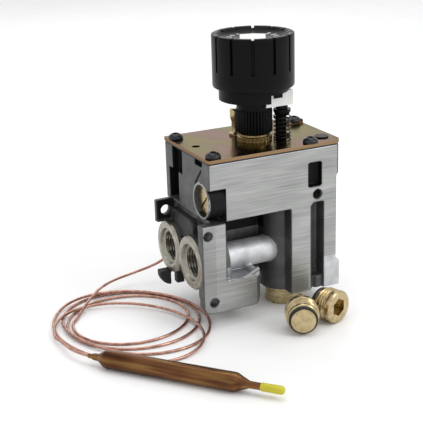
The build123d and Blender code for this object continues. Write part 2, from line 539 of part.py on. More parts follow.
def thermostat_lever():
    """Flat lever with a side arm over the main valve's stem."""
    z0, z1 = LEVER_Z - LEVER_HALF_THICKNESS, LEVER_Z + LEVER_HALF_THICKNESS
    lever = block(LEVER_PIVOT_X, 4.0, -2.3, 2.3, z0, z1)
    lever += block(OUTLET_RISER_X - 3.0, OUTLET_RISER_X + 3.0, 2.0, OUTLET_RISER_Y + 3.0, z0, z1)
    lever += bar_y(LEVER_PIVOT_X, LEVER_Z, -4.2, 4.2, 3.0)
    return lever - bar_y(LEVER_PIVOT_X, LEVER_Z, -8.0, 8.0, 1.5 + RUN_CLEARANCE)


def main_valve_seat():
    """Brass seat ring pressed over the outlet riser."""
    ring = turned([(5.0, 60.0), (MAIN_SEAT_OUTER, 60.0), (MAIN_SEAT_OUTER, 62.6), (6.2, 63.0),
                   (6.0, MAIN_SEAT_TOP), (5.0, MAIN_SEAT_TOP)])
    return Pos(OUTLET_RISER_X, OUTLET_RISER_Y, 0) * ring


def main_valve_disc():
    """Rubber-faced main gas valve with its stem up to the lever."""
    low = MAIN_SEAT_TOP + MAIN_VALVE_LIFT + 0.1
    top = LEVER_Z - LEVER_HALF_THICKNESS - 0.4
    profile = [(0, low), (7.4, low), (7.4, low + 2.0), (1.5, low + 2.0), (1.5, top), (0, top)]
    return Pos(OUTLET_RISER_X, OUTLET_RISER_Y, 0) * turned(profile)


def main_valve_spring():
    """Spring that opens the main valve against the lever."""
    height = MAIN_VALVE_LIFT + MAIN_SEAT_TOP - 62.8
    return Pos(OUTLET_RISER_X, OUTLET_RISER_Y, 0) * coil_spring(62.85, height, 7.0, 0.6, 1.5)


def inlet_strainer():
    """Cup of wire gauze in the inlet passage."""
    cup = bar_x(INLET_Y, PORT_Z, -37.0, -27.0, PASSAGE_RADIUS - 0.05)
    return cup - bar_x(INLET_Y, PORT_Z, -38.0, -28.0, PASSAGE_RADIUS - 1.0)


# ---- pressure regulator ------------------------------------------------------------------
def along_boss(shape, x):
    """Turn a piece built on +Z so that it points out of the regulator's boss at x."""
    return Pos(x, BOSS_Y, BOSS_Z) * Rot(0, -90, 0) * shape


def regulator_screw():
    """Slotted brass adjusting disc, recessed in the boss."""
    disc = slotted_disc(BOSS_BORE - RUN_CLEARANCE, 4.0, 1.5, 1.4, REGULATOR_SLOT_ANGLE)
    return along_boss(disc, BODY_LEFT + 6.4)


def regulator_spring():
    """Spring between the adjusting disc and the diaphragm plate."""
    return along_boss(coil_spring(0.0, REGULATOR_SPRING_LENGTH, 5.0, 0.8, 4.0), REGULATOR_PLATE_X - 0.1)


def regulator_diaphragm():
    """Diaphragm plate with the regulating cone."""
    profile = [(0, 0), (7.8, 0), (7.8, -1.6), (2.4, -1.6), (2.4, -5.0), (0, -8.6)]
    return along_boss(turned(profile), REGULATOR_PLATE_X)


def pilot_screw():
    """Recessed adjusting screw for the pilot flame."""
    screw = slotted_disc(2.9, 2.2, 0.7, 0.8, 20.0) + post(0, 0, -9.0, 0.0, 2.0 - RUN_CLEARANCE)
    return Pos(PILOT_SCREW_X, BODY_FRONT + 4.7, PILOT_SCREW_Z) * Rot(90, 0, 0) * screw


def pilot_fitting():
    """Brass outlet fitting for the pilot tube, under the casting."""
    body = hexagon(13.0, FLOOR_Z, -2.5) + post(0, 0, -2.5, 0.0, 5.6)
    body += post(0, 0, 0.0, 8.0, PILOT_THREAD_RADIUS)
    body -= post(0, 0, FLOOR_Z - 1, FLOOR_Z + PILOT_TUBE_DEPTH, PILOT_TUBE_RADIUS)
    body -= post(0, 0, -4.0, 9.0, 1.6)
    return Pos(PILOT_X, PILOT_Y, 0) * body


# ---- capillary, coil and bulb --------------------------------------------------------------
def corner_radii(points):
    """Largest even radius at each inner point of a route, 0.45 of its shorter run."""
    radii = []
    for a, b, c in zip(points, points[1:], points[2:]):
        before, after = Vector(*b) - Vector(*a), Vector(*c) - Vector(*b)
        half_turn = math.radians(before.get_angle(after)) / 2
        radii.append(0.45 * min(before.length, after.length) / math.tan(half_turn))
    return radii


def capillary(points, name):
    """Copper tube along straight runs joined by tangent arcs."""
    radii = corner_radii(points)
    path = FilletPolyline(*points, radius=radii)
    section = Plane(origin=path @ 0, z_dir=path % 0) * Circle(CAPILLARY_DIAMETER / 2)
    tube = sweep(section, path=path)
    expected = math.pi * (CAPILLARY_DIAMETER / 2) ** 2 * path.length
    print(name, "length", round(path.length, 1), "radii", [round(r, 1) for r in radii],
          "volume ratio", round(tube.volume / expected, 4))
    return tube


def capillary_gland():
    """Brass gland that seals the capillary in the back of the casting."""
    nose = GLAND_END_Y - BODY_BACK
    body = hexagon(11.0, -3.0, 0.0) + post(0, 0, 0.0, 5.0, GLAND_THREAD_RADIUS)
    body += turned([(0, -3.0), (3.4, -3.0), (2.0, -nose), (0, -nose)])
    return Pos(GLAND_X, BODY_BACK, GLAND_Z) * Rot(90, 0, 0) * body


def turn_oval(turn, margin):
    """Solid oval of one turn of the coil, margin wider than the turn's centre line."""
    (x, y), half_axes = turn
    face = Ellipse(*(half + margin for half in half_axes))
    return extrude(Pos(x, y, FLOOR_Z) * Rot(0, 0, COIL_TILT) * face, COIL_HEIGHT)


def capillary_coil():
    """Outer shape of the loosely coiled capillary lying on the surface."""
    margin = 1.5 * CAPILLARY_DIAMETER
    ring = turn_oval(COIL_TURNS[0], margin)
    hole = turn_oval(COIL_TURNS[0], -margin)
    for turn in COIL_TURNS[1:]:
        ring += turn_oval(turn, margin)
        hole &= turn_oval(turn, -margin)
    angle = math.degrees(math.atan2(BULB_DIRECTION[1], BULB_DIRECTION[0]))
    beyond = Pos(0, -50 + COIL_BULB_GAP, 0) * Box(300, 100, 60)
    return ring - hole - Pos(*BULB_START, FLOOR_Z) * Rot(0, 0, angle) * beyond


def bulb_place(distance):
    """Frame on the bulb's axis, with local Z towards the bulb's tip."""
    x = BULB_START[0] + BULB_DIRECTION[0] * distance
    y = BULB_START[1] + BULB_DIRECTION[1] * distance
    return Location(Plane(origin=(x, y, BULB_Z), z_dir=(*BULB_DIRECTION, 0)))


def sensor_bulb():
    """Copper bulb, swaged down at both ends."""
    profile = [(0, -11.5), (1.6, -11.5), (2.1, -5.5), (2.3, -4.0), (BULB_RADIUS, 0),
               (BULB_RADIUS, BULB_LENGTH), (4.2, BULB_LENGTH + 2.6), (2.2, BULB_LENGTH + 6.2),
               (2.0, BULB_LENGTH + 14.0), (0, BULB_LENGTH + 14.0)]
    return bulb_place(0) * turned(profile)


def bulb_tip():
    """Yellow dipped end of the bulb's sealed tail."""
    return bulb_place(BULB_LENGTH + 14.0) * turned([(0, 0), (2.4, 0), (2.5, 12.0), (1.7, 13.4), (0, 13.4)])


# ---- loose blanking plugs --------------------------------------------------------------------
def plug_place(face, angle):
    """Frame on a lying plug's axis, with local Z pointing out of the named end."""
    direction = (math.cos(math.radians(angle)), math.sin(math.radians(angle)), 0)
    return Location(Plane(origin=(*face, FLOOR_Z + PLUG_RADIUS), z_dir=direction))


def plug_body():
    """Hollow brass plug: z = 0 is the O-ring end, the hex socket is at the far end."""
    profile = [(0, 0), (7.6, 0), (7.6, -0.9), (6.9, -0.9), (6.9, -3.1), (9.0, -3.4),
               (9.6, -4.2), (9.6, -6.0)]
    for thread in range(3):
        low = -6.0 - thread * PORT_THREAD_PITCH
        profile += [(9.2, low - 0.3), (PLUG_RADIUS - 0.1, low - 0.9), (9.2, low - 1.5)]
    profile += [(9.2, -11.8), (PLUG_RADIUS, -12.4), (PLUG_RADIUS, -15.7), (9.7, -PLUG_LENGTH),
                (0, -PLUG_LENGTH)]
    socket = hexagon(10.0, -PLUG_LENGTH - 1, -PLUG_LENGTH + 8.0)
    return turned(profile) - socket


def plug_ring():
    """Rubber O-ring in the plug's groove."""
    return Pos(0, 0, -2.0) * Torus(7.95, 1.0)


PIECES = {
    "valve_body": valve_body,
    "cover_gasket": cover_gasket,
    "cover_plate": cover_plate,
    "cover_screws": cover_screws,
    "earth_tab": earth_tab,
    "blanking_cap": blanking_cap,
    "guide_pillar": guide_pillar,
    "spindle_bush": spindle_bush,
    "spindle": spindle,
    "spline_hub": spline_hub,
    "knob": knob,
    "knob_insert": knob_insert,
    "press_skirt": press_skirt,
    "press_carrier": press_carrier,
    "push_stem": push_stem,
    "return_spring": return_spring,
    "magnet_nut": magnet_nut,
    "magnet_can": magnet_can,
    "magnet_winding": magnet_winding,
    "magnet_core": magnet_core,
    "safety_armature": safety_armature,
    "safety_disc": safety_disc,
    "safety_spring": safety_spring,
    "bellows_capsule": bellows_capsule,
    "capsule_bracket": capsule_bracket,
    "bellows_stud": bellows_stud,
    "lever_bracket": lever_bracket,
    "lever_pin": lever_pin,
    "thermostat_lever": thermostat_lever,
    "main_valve_seat": main_valve_seat,
    "main_valve_disc": main_valve_disc,
    "main_valve_spring": main_valve_spring,
    "inlet_strainer": inlet_strainer,
    "regulator_screw": regulator_screw,
    "regulator_spring": regulator_spring,
    "regulator_diaphragm": regulator_diaphragm,
    "pilot_screw": pilot_screw,
    "pilot_fitting": pilot_fitting,
    "capillary_gland": capillary_gland,
    "capillary_coil": capillary_coil,
    "sensor_bulb": sensor_bulb,
    "bulb_tip": bulb_tip,
}

os.makedirs("parts", exist_ok=True)
for node, make in PIECES.items():
    write(make(), node)
write(capillary(LEAD_ROUTE, "capillary_lead"), "capillary_lead")
write(capillary(TAIL_ROUTE, "capillary_tail"), "capillary_tail")

socket_end_first = Rot(180, 0, 0) * Pos(0, 0, PLUG_LENGTH)
PLUG_PLACES = {
    "a": plug_place(PLUG_A_FACE, PLUG_A_ANGLE),
    "b": plug_place(PLUG_B_FACE, PLUG_B_ANGLE) * socket_end_first,
}
for letter, place in PLUG_PLACES.items():
    write(place * plug_body(), f"port_plug_{letter}")
    write(place * plug_ring(), f"plug_ring_{letter}")
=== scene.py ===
import json
import math

import bmesh
import bpy
from mathutils import Matrix, Vector, noise

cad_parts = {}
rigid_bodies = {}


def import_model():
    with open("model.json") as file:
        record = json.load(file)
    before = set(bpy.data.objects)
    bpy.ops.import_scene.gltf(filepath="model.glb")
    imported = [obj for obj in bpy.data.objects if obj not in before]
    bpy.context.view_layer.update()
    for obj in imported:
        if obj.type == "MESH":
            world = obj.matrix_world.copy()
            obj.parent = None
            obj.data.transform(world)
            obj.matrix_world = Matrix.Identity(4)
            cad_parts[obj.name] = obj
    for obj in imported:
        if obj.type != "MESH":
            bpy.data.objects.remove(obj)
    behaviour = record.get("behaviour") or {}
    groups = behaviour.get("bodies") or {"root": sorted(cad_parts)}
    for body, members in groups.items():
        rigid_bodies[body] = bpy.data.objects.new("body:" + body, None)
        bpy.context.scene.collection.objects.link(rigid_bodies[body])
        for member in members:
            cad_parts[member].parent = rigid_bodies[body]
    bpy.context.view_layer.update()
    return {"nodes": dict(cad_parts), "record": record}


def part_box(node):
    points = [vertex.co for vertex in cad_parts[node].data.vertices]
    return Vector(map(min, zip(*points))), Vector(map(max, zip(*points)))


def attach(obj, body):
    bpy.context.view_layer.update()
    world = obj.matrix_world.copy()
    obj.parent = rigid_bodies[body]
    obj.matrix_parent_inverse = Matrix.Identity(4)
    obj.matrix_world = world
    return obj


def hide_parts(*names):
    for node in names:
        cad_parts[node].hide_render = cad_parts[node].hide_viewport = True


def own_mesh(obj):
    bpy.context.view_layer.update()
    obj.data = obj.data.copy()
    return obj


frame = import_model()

# Looks of the gas control valve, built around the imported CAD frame.
# Lengths below are millimetres on the valve's own axes, X along the front face, Y towards
# the back, Z up from the casting's underside, with the knob's axis at X = Y = 0.
# at() turns such a place into the frame's metres.

MM = 0.001


def middle(node):
    """Centre of a CAD node's box."""
    low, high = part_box(node)
    return (Vector(low) + Vector(high)) / 2


KNOB_AXIS = middle("spindle")
FLOOR_Z = -12.0
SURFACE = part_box("port_plug_a")[0][2]              # what the valve and its bulb stand on
UNDERSIDE = SURFACE - FLOOR_Z * MM


def at(x, y, z):
    return Vector((KNOB_AXIS.x + x * MM, KNOB_AXIS.y + y * MM, UNDERSIDE + z * MM))


def valve_xyz(point):
    """Valve coordinates in millimetres of a point in the frame."""
    return (point[0] - KNOB_AXIS.x) / MM, (point[1] - KNOB_AXIS.y) / MM, (point[2] - UNDERSIDE) / MM


# ---- driving dimensions, as in the CAD -------------------------------------------------
FRONT_Y, LEFT_X, TOP_Z = -30.1, -46.2, 93.0
LOW_FRONT_BOTTOM, LOW_BLOCK_RIGHT, RIDGE_X = -1.3, -11.3, -42.8
PORT_FACE_X, PORT_Z, PORT_RADIUS = -52.0, 27.0, 17.0
PORT_YS = (-11.0, 22.0)
THREAD_MINOR, THREAD_MAJOR, THREAD_PITCH = 9.32, 10.48, 1.814
PLATE_TOP = 95.7
STEM_X, STEM_Y, CHAMBER_RADIUS = 15.7, -7.1, 16.0
COVER_SCREWS = [(-40.6, -24.8), (-42.0, 25.4), (24.5, -26.4), (39.6, 20.0)]
PILLAR = (-6.6, 13.9)
KNOB_RADIUS, KNOB_BOTTOM, KNOB_TOP = 25.1, 129.3, 161.6
KNOB_GROOVES, KNOB_GROOVE_ANGLE = 12, 242.0
BOSS_Y, BOSS_Z = -19.1, 68.3
BULB_START, BULB_DIRECTION = Vector((-120.8, -43.6)), Vector((0.652, -0.759))
BULB_RADIUS, BULB_LENGTH = 5.5, 80.4
PLUG_RADIUS, PLUG_LENGTH = 10.4, 16.5
PLUG_A_FACE, PLUG_A_ANGLE = (-3.2, -65.1), 244.0
PLUG_B_FACE, PLUG_B_ANGLE = (26.0, -58.3), 290.0
CAPILLARY_DIAMETER = 1.8


# ---- camera ------------------------------------------------------------------------------
def make_camera():
    """Long lens at the viewing angle of the reference, rolled a little."""
    target, distance = Vector((0.0240, 0.0205, 0.0226)), 0.6786
    azimuth, elevation, roll = (math.radians(a) for a in (25.38, 19.29, -1.77))
    back = Vector((-math.sin(azimuth) * math.cos(elevation),
                   -math.cos(azimuth) * math.cos(elevation), math.sin(elevation)))
    level = Vector((math.cos(azimuth), -math.sin(azimuth), 0))
    right = level * math.cos(roll) + back.cross(level) * math.sin(roll)
    up = back.cross(right)
    data = bpy.data.cameras.new("camera")
    data.sensor_width, data.lens = 36.0, 91.54
    data.clip_start, data.clip_end = 0.01, 50.0
    camera = bpy.data.objects.new("camera", data)
    place = Matrix((right, up, back)).transposed().to_4x4()
    place.translation = target + back * distance
    camera.matrix_world = place
    bpy.context.collection.objects.link(camera)
    bpy.context.scene.camera = camera


make_camera()


# ---- materials ------------------------------------------------------------------------------
class Finish:
    """One procedural material; textures are laid out in millimetres on the object."""

    def __init__(self, name, colour, roughness, metallic=0.0, **sockets):
        self.material = bpy.data.materials.new(name)
        self.material.use_nodes = True
        self.tree = self.material.node_tree
        self.shader = self.tree.nodes["Principled BSDF"]
        self.set("Base Color", (*colour, 1.0))
        self.set("Roughness", roughness)
        self.set("Metallic", metallic)
        for socket, value in sockets.items():
            self.set(socket.replace("_", " "), value)
        self.coordinates = self.add("ShaderNodeTexCoord")
        self.heights = None

    def add(self, kind, **settings):
        """A new node with some of its properties set."""
        node = self.tree.nodes.new(kind)
        for key, value in settings.items():
            setattr(node, key, value)
        return node

    def set(self, socket, value):
        """Give a shader socket a plain value or a link."""
        target = self.shader.inputs[socket]
        if isinstance(value, bpy.types.NodeSocket):
            self.tree.links.new(value, target)
        else:
            target.default_value = value

    def feed(self, node, **values):
        """Give a node's inputs values or links, by name or, as _0, _1, by number."""
        for key, value in values.items():
            target = node.inputs[int(key[1:])] if key[1:].isdigit() else node.inputs[key]
            if isinstance(value, bpy.types.NodeSocket):
                self.tree.links.new(value, target)
            else:
                target.default_value = value

    def place(self, stretch=(1, 1, 1), turn=(0, 0, 0)):
        """Object coordinates in millimetres, stretched and turned."""
        node = self.add("ShaderNodeMapping")
        node.inputs["Scale"].default_value = [s / MM for s in stretch]
        node.inputs["Rotation"].default_value = [math.radians(a) for a in turn]
        self.tree.links.new(self.coordinates.outputs["Object"], node.inputs["Vector"])
        return node.outputs["Vector"]

    def noise(self, size, stretch=(1, 1, 1), detail=3.0, rough=0.55, turn=(0, 0, 0)):
        """Noise whose blobs are about size millimetres across, divided by stretch."""
        node = self.add("ShaderNodeTexNoise")
        node.inputs["Scale"].default_value = 1.0 / size
        node.inputs["Detail"].default_value = detail
        node.inputs["Roughness"].default_value = rough
        self.tree.links.new(self.place(stretch, turn), node.inputs["Vector"])
        return node.outputs["Fac"]

    def ramp(self, value, *stops):
        """Colour ramp through (position, colour) stops."""
        node = self.add("ShaderNodeValToRGB")
        elements = node.color_ramp.elements
        while len(elements) < len(stops):
            elements.new(1.0)
        for element, (position, colour) in zip(elements, stops):
            element.position = position
            element.color = (*colour, 1)
        self.tree.links.new(value, node.inputs["Fac"])
        return node.outputs["Color"]

    def mix(self, share, first, second):
        """A colour between two others."""
        node = self.add("ShaderNodeMix", data_type="RGBA")
        self.feed(node, _0=share, _6=first, _7=second)
        return node.outputs[2]

    def maths(self, operation, first, second=0.0):
        node = self.add("ShaderNodeMath", operation=operation)
        self.feed(node, _0=first, _1=second)
        return node.outputs["Value"]

    def attribute(self, name):
        """A mesh attribute's value."""
        return self.add("ShaderNodeAttribute", attribute_name=name).outputs["Fac"]

    def normal_part(self, axis):
        """One component of the surface normal on the object's own axes."""
        node = self.add("ShaderNodeSeparateXYZ")
        self.tree.links.new(self.coordinates.outputs["Normal"], node.inputs["Vector"])
        return node.outputs[axis]

    def bump(self, height, depth):
        """Bump of about depth millimetres from a 0 to 1 height; calls add up."""
        node = self.add("ShaderNodeBump")
        self.feed(node, Strength=1.0, Distance=depth * MM, Height=height)
        if self.heights is not None:
            self.tree.links.new(self.heights, node.inputs["Normal"])
        self.heights = node.outputs["Normal"]
        self.tree.links.new(self.heights, self.shader.inputs["Normal"])


def grey(value):
    """A neutral colour."""
    return (value, value, value)


def colour_of(value):
    """A colour as a socket's default value."""
    return (*value, 1.0)


def cast_aluminium():
    """Die-cast skin and milled faces, with painted shadow, painted shade and painted light given by mesh
    attributes.
    """
    f = Finish("cast_aluminium", grey(0.5), 0.5, metallic=0.85)
    milled, dark = f.attribute("milled"), f.attribute("dark")
    lines = f.noise(1.0, stretch=(0.03, 1.2, 1.2), detail=4, turn=(0, -2.5, 0))
    broad = f.noise(14.0, stretch=(0.35, 1, 1), detail=2)
    grain = f.noise(0.55, detail=3)
    blotch = f.noise(9.0, detail=4)
    bright = f.ramp(lines, (0.3, (0.23, 0.24, 0.23)), (0.5, (0.34, 0.35, 0.34)), (0.7, (0.47, 0.48, 0.47)))
    bright = f.mix(0.35, bright, f.ramp(broad, (0.3, grey(0.20)), (0.7, grey(0.50))))
    # The cast skin is darker than the milled faces, and is made darker still as painted shade, so the sides
    # read as less lit than the front.
    skin = f.ramp(blotch, (0.25, (0.080, 0.082, 0.083)), (0.5, (0.115, 0.117, 0.118)),
                  (0.8, (0.175, 0.178, 0.182)))
    skin = f.mix(0.15, skin, f.ramp(grain, (0.35, grey(0.08)), (0.7, grey(0.36))))
    # Painted light: a much brighter, less metallic skin round the inlet passage, in the hollow and on the
    # foot.
    painted_light = f.ramp(blotch, (0.3, (0.50, 0.51, 0.53)), (0.7, (0.80, 0.81, 0.83)))
    skin = f.mix(f.attribute("painted_light"), skin, painted_light)
    f.set("Metallic", f.mix(f.attribute("painted_light"), colour_of(grey(0.85)), colour_of(grey(0.70))))
    # Painted shade: the skin darkened to dark grey on the saddle, the rear flange and the chamber wall.
    skin = f.mix(f.attribute("painted_shade"), skin, colour_of((0.055, 0.055, 0.057)))
    colour = f.mix(milled, skin, bright)
    # Painted shadow: near-black in the recesses, and on the dark line across the left face.
    colour = f.mix(dark, colour, colour_of((0.012, 0.012, 0.013)))
    f.set("Base Color", colour)
    rough = f.mix(milled, f.ramp(grain, (0.3, grey(0.50)), (0.8, grey(0.66))),
                  f.ramp(lines, (0.3, grey(0.32)), (0.8, grey(0.48))))
    f.set("Roughness", rough)
    f.bump(f.maths("MULTIPLY", grain, f.maths("SUBTRACT", 1.0, milled)), 0.10)
    f.bump(f.maths("MULTIPLY", blotch, f.maths("SUBTRACT", 1.0, milled)), 0.35)
    f.bump(f.maths("MULTIPLY", lines, milled), 0.05)
    return f.material


def turned_aluminium():
    """Bright turned rim and thread of a gas port."""
    f = Finish("turned_aluminium", (0.62, 0.60, 0.54), 0.3, metallic=1.0)
    rings = f.noise(0.35, stretch=(1, 0.02, 0.02), detail=2)
    stain = f.noise(5.0, detail=4)
    f.set("Base Color", f.ramp(stain, (0.3, (0.24, 0.225, 0.185)), (0.6, (0.37, 0.355, 0.30)),
                               (0.8, (0.47, 0.46, 0.41))))
    f.set("Roughness", f.ramp(stain, (0.3, grey(0.36)), (0.8, grey(0.24))))
    f.bump(rings, 0.03)
    f.bump(f.noise(0.7), 0.03)
    return f.material


def passivated_steel():
    """Zinc plate with a yellow passivation that drifts to pink and olive; copper-coloured edges."""
    f = Finish("passivated_steel", (0.6, 0.5, 0.4), 0.2, metallic=1.0)
    drift = f.noise(38.0, stretch=(1, 0.7, 1), detail=2.5, rough=0.45)
    film = f.ramp(drift, (0.30, (0.17, 0.125, 0.075)), (0.42, (0.24, 0.20, 0.075)),
                  (0.5, (0.24, 0.165, 0.105)), (0.58, (0.28, 0.165, 0.14)), (0.70, (0.18, 0.125, 0.088)))
    fine = f.noise(1.2, stretch=(0.15, 1, 1), detail=3)
    film = f.mix(0.12, film, f.ramp(fine, (0.3, grey(0.05)), (0.7, grey(0.20))))
    f.set("Specular Tint", colour_of(grey(0.55)))
    edge = f.ramp(f.maths("ABSOLUTE", f.normal_part("Z")), (0.35, grey(1.0)), (0.75, grey(0.0)))
    f.set("Base Color", f.mix(edge, film, colour_of((0.27, 0.17, 0.095))))
    f.set("Roughness", f.ramp(fine, (0.3, grey(0.16)), (0.8, grey(0.26))))
    f.bump(fine, 0.012)
    f.bump(f.noise(6.0, detail=2), 0.10)
    return f.material


def black_metal():
    """Black oxide on steel screws."""
    f = Finish("blackened_steel", grey(0.02), 0.3, metallic=0.6)
    wear = f.noise(0.9, detail=4)
    f.set("Base Color", f.ramp(wear, (0.35, grey(0.012)), (0.62, (0.035, 0.033, 0.04)), (0.8, grey(0.12))))
    f.set("Roughness", f.ramp(wear, (0.3, grey(0.38)), (0.8, grey(0.24))))
    f.bump(wear, 0.04)
    return f.material


def moulded(name, colour, roughness, grain=0.35, depth=0.03, shine=0.5):
    """Moulded plastic with a fine spark-eroded grain and faint flow marks."""
    f = Finish(name, colour, roughness, Specular_IOR_Level=shine)
    texture = f.noise(grain, detail=2)
    flow = f.noise(9.0, stretch=(1, 1, 0.4), detail=3)
    darker, lighter = [c * 0.85 for c in colour], [min(1, c * 1.18) for c in colour]
    f.set("Base Color", f.ramp(flow, (0.3, darker), (0.7, lighter)))
    f.set("Roughness", f.ramp(flow, (0.3, grey(roughness * 0.88)), (0.7, grey(roughness * 1.1))))
    f.bump(texture, depth)
    f.bump(flow, 0.08)
    return f.material


def turned_metal(name, dark, light, roughness, size=0.5):
    """Turned or drawn metal with fine tool marks and slow stains."""
    f = Finish(name, light, roughness, metallic=1.0)
    stain = f.noise(4.0, detail=4)
    marks = f.noise(size, stretch=(1, 1, 1.6), detail=3)
    f.set("Base Color", f.ramp(stain, (0.28, dark), (0.6, light)))
    f.set("Roughness", f.ramp(stain, (0.3, grey(roughness * 1.25)), (0.75, grey(roughness * 0.85))))
    f.bump(marks, 0.025)
    f.bump(stain, 0.05)
    return f.material


def bulb_copper():
    """Heat-tinted copper tube: brown film with red streaks along the bulb, and golden streaks that are partly
    tint and partly painted highlight.
    """
    f = Finish("bulb_copper", (0.4, 0.2, 0.1), 0.3, metallic=1.0)
    streak_and_highlight = f.noise(3.0, stretch=(1, 1, 0.05), detail=2, rough=0.4)
    cloud = f.noise(13.0, stretch=(1, 1, 0.5), detail=1.5, rough=0.4)
    film = f.ramp(streak_and_highlight, (0.32, (0.040, 0.015, 0.009)), (0.44, (0.095, 0.036, 0.019)),
                  (0.54, (0.16, 0.064, 0.030)), (0.64, (0.29, 0.17, 0.055)), (0.74, (0.14, 0.055, 0.028)))
    patches = f.ramp(cloud, (0.35, (0.045, 0.017, 0.010)), (0.65, (0.25, 0.13, 0.05)))
    f.set("Base Color", f.mix(0.35, film, patches))
    f.set("Roughness", f.ramp(cloud, (0.3, grey(0.24)), (0.7, grey(0.40))))
    f.bump(f.noise(0.6, stretch=(1, 1, 0.1), detail=3), 0.015)
    f.bump(cloud, 0.08)
    return f.material


def rubber(name):
    """Dull black rubber or fibre."""
    f = Finish(name, grey(0.02), 0.55, Specular_IOR_Level=0.35)
    grain = f.noise(0.5, detail=3)
    f.set("Base Color", f.ramp(grain, (0.3, grey(0.013)), (0.75, grey(0.035))))
    f.bump(grain, 0.03)
    return f.material


FINISHES = {
    "cast_aluminium": cast_aluminium(),
    "gasket_fibre": rubber("gasket_fibre"),
    "zinc_passivated_steel": passivated_steel(),
    "blackened_steel": black_metal(),
    "black_plastic": moulded("black_plastic", (0.003, 0.003, 0.0033), 0.34, shine=0.10),
    "white_plastic": moulded("white_plastic", (0.70, 0.70, 0.68), 0.42),
    "brass": turned_metal("brass", (0.38, 0.29, 0.15), (0.56, 0.455, 0.265), 0.24),
    "steel": turned_metal("steel", (0.2, 0.2, 0.2), (0.38, 0.38, 0.37), 0.34),
    "spring_steel": turned_metal("spring_steel", (0.010, 0.010, 0.011), (0.035, 0.033, 0.031), 0.32),
    "copper": turned_metal("copper", (0.27, 0.13, 0.10), (0.54, 0.31, 0.245), 0.25, size=0.8),
    "bulb_copper": bulb_copper(),
    "yellow_dip": moulded("yellow_dip", (0.52, 0.46, 0.015), 0.30, grain=1.2, depth=0.10),
    "rubber": rubber("rubber"),
    "aluminium_sheet": turned_metal("aluminium_sheet", (0.5, 0.5, 0.5), (0.7, 0.7, 0.7), 0.4),
}
PORT_FINISH = turned_aluminium()
# Brass darkened as painted shade, for the bush in the shade of the hub.
BUSH_PAINTED_SHADE_FINISH = turned_metal("brass_with_painted_shade", (0.10, 0.07, 0.03), (0.30, 0.22, 0.10), 0.30)
# Brass painted near-black as the shadow in the pilot screw's hole.
HOLE_SHADOW_FINISH = turned_metal("brass_painted_black_as_shadow", (0.006, 0.005, 0.004), (0.022, 0.018, 0.012), 0.5)
SLOT_OF = {part["node"]: part["material_slot"] for part in frame["record"]["subparts"]}
BODY_OF = {node: body for body, nodes in frame["record"]["behaviour"]["bodies"].items() for node in nodes}

for node, thing in frame["nodes"].items():
    for place in thing.material_slots:
        place.material = FINISHES[SLOT_OF[node]]


# ---- mesh helpers ------------------------------------------------------------------------------
def link(name, data):
    """A new object in the scene."""
    thing = bpy.data.objects.new(name, data)
    bpy.context.collection.objects.link(thing)
    return thing


def shade(thing, angle=35.0):
    """Smooth shading, with edges sharper than angle kept crisp."""
    mesh = thing.data
    mesh.shade_smooth()
    mesh.set_sharp_from_angle(angle=math.radians(angle))


def bevel(thing, width, segments=2, angle=32.0):
    """Rounded edges, width in millimetres."""
    modifier = thing.modifiers.new("edges", "BEVEL")
    modifier.width, modifier.segments = width * MM, segments
    modifier.limit_method, modifier.angle_limit = "ANGLE", math.radians(angle)
    modifier.use_clamp_overlap = True
    modifier.harden_normals = True


def stand_for(thing, *nodes, finish=None):
    """Make a finished piece ride with, and stand for, the CAD nodes it shows."""
    slot = SLOT_OF[nodes[0]]
    if not thing.data.materials:
        thing.data.materials.append(finish or FINISHES[slot])
    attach(thing, BODY_OF[nodes[0]])
    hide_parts(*nodes)
    return thing


def detail_on(thing, node, finish=None, slot=None):
    """Make an extra piece ride with the body of a CAD node that stays as it is."""
    slot = slot or SLOT_OF[node]
    if not thing.data.materials:
        thing.data.materials.append(finish or FINISHES[slot])
    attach(thing, BODY_OF[node])
    return thing


def from_cad(name, node, width=0.25, segments=2, finish=None):
    """Copy of a CAD node's mesh with whole flat faces and rounded edges."""
    thing = link(name, frame["nodes"][node].data.copy())
    thing.data.materials.clear()
    mesh = bmesh.new()
    mesh.from_mesh(thing.data)
    bmesh.ops.remove_doubles(mesh, verts=mesh.verts, dist=1e-6)
    bmesh.ops.dissolve_limit(mesh, angle_limit=math.radians(1.0), verts=mesh.verts, edges=mesh.edges)
    mesh.to_mesh(thing.data)
    mesh.free()
    thing.data.materials.clear()
    shade(thing)
    if width:
        bevel(thing, width, segments)
    return stand_for(thing, node, finish=finish)


def even_angles(steps):
    """Degrees round a circle."""
    return [360.0 * i / steps for i in range(steps)]


def lathe(name, profile, place, angles=96, warp=None):
    """Mesh turned about local Z from (radius, height) millimetres.
    warp(radius, height, angle) may move a point of the profile at one angle in degrees."""
    angles = even_angles(angles) if isinstance(angles, int) else sorted(angles)
    mesh = bmesh.new()
    rings = []
    for radius, height in profile:
        if radius == 0:
            rings.append([mesh.verts.new((0, 0, height * MM))])
            continue
        ring = []
        for angle in angles:
            r, z = warp(radius, height, angle) if warp else (radius, height)
            turn = math.radians(angle)
            ring.append(mesh.verts.new((r * math.cos(turn) * MM, r * math.sin(turn) * MM, z * MM)))
        rings.append(ring)
    for low, high in zip(rings, rings[1:]):
        for i in range(len(angles)):
            j = (i + 1) % len(angles)
            corners = [low[i % len(low)], low[j % len(low)], high[j % len(high)], high[i % len(high)]]
            unique = list(dict.fromkeys(corners))
            if len(unique) > 2:
                mesh.faces.new(unique)
    if rings[0] and len(rings[0]) > 1 and profile[0] == profile[-1]:
        bmesh.ops.remove_doubles(mesh, verts=mesh.verts, dist=1e-7)
    bmesh.ops.recalc_face_normals(mesh, faces=mesh.faces)
    data = bpy.data.meshes.new(name)
    mesh.to_mesh(data)
    mesh.free()
    thing = link(name, data)
    thing.matrix_world = place
    shade(thing)
    return thing


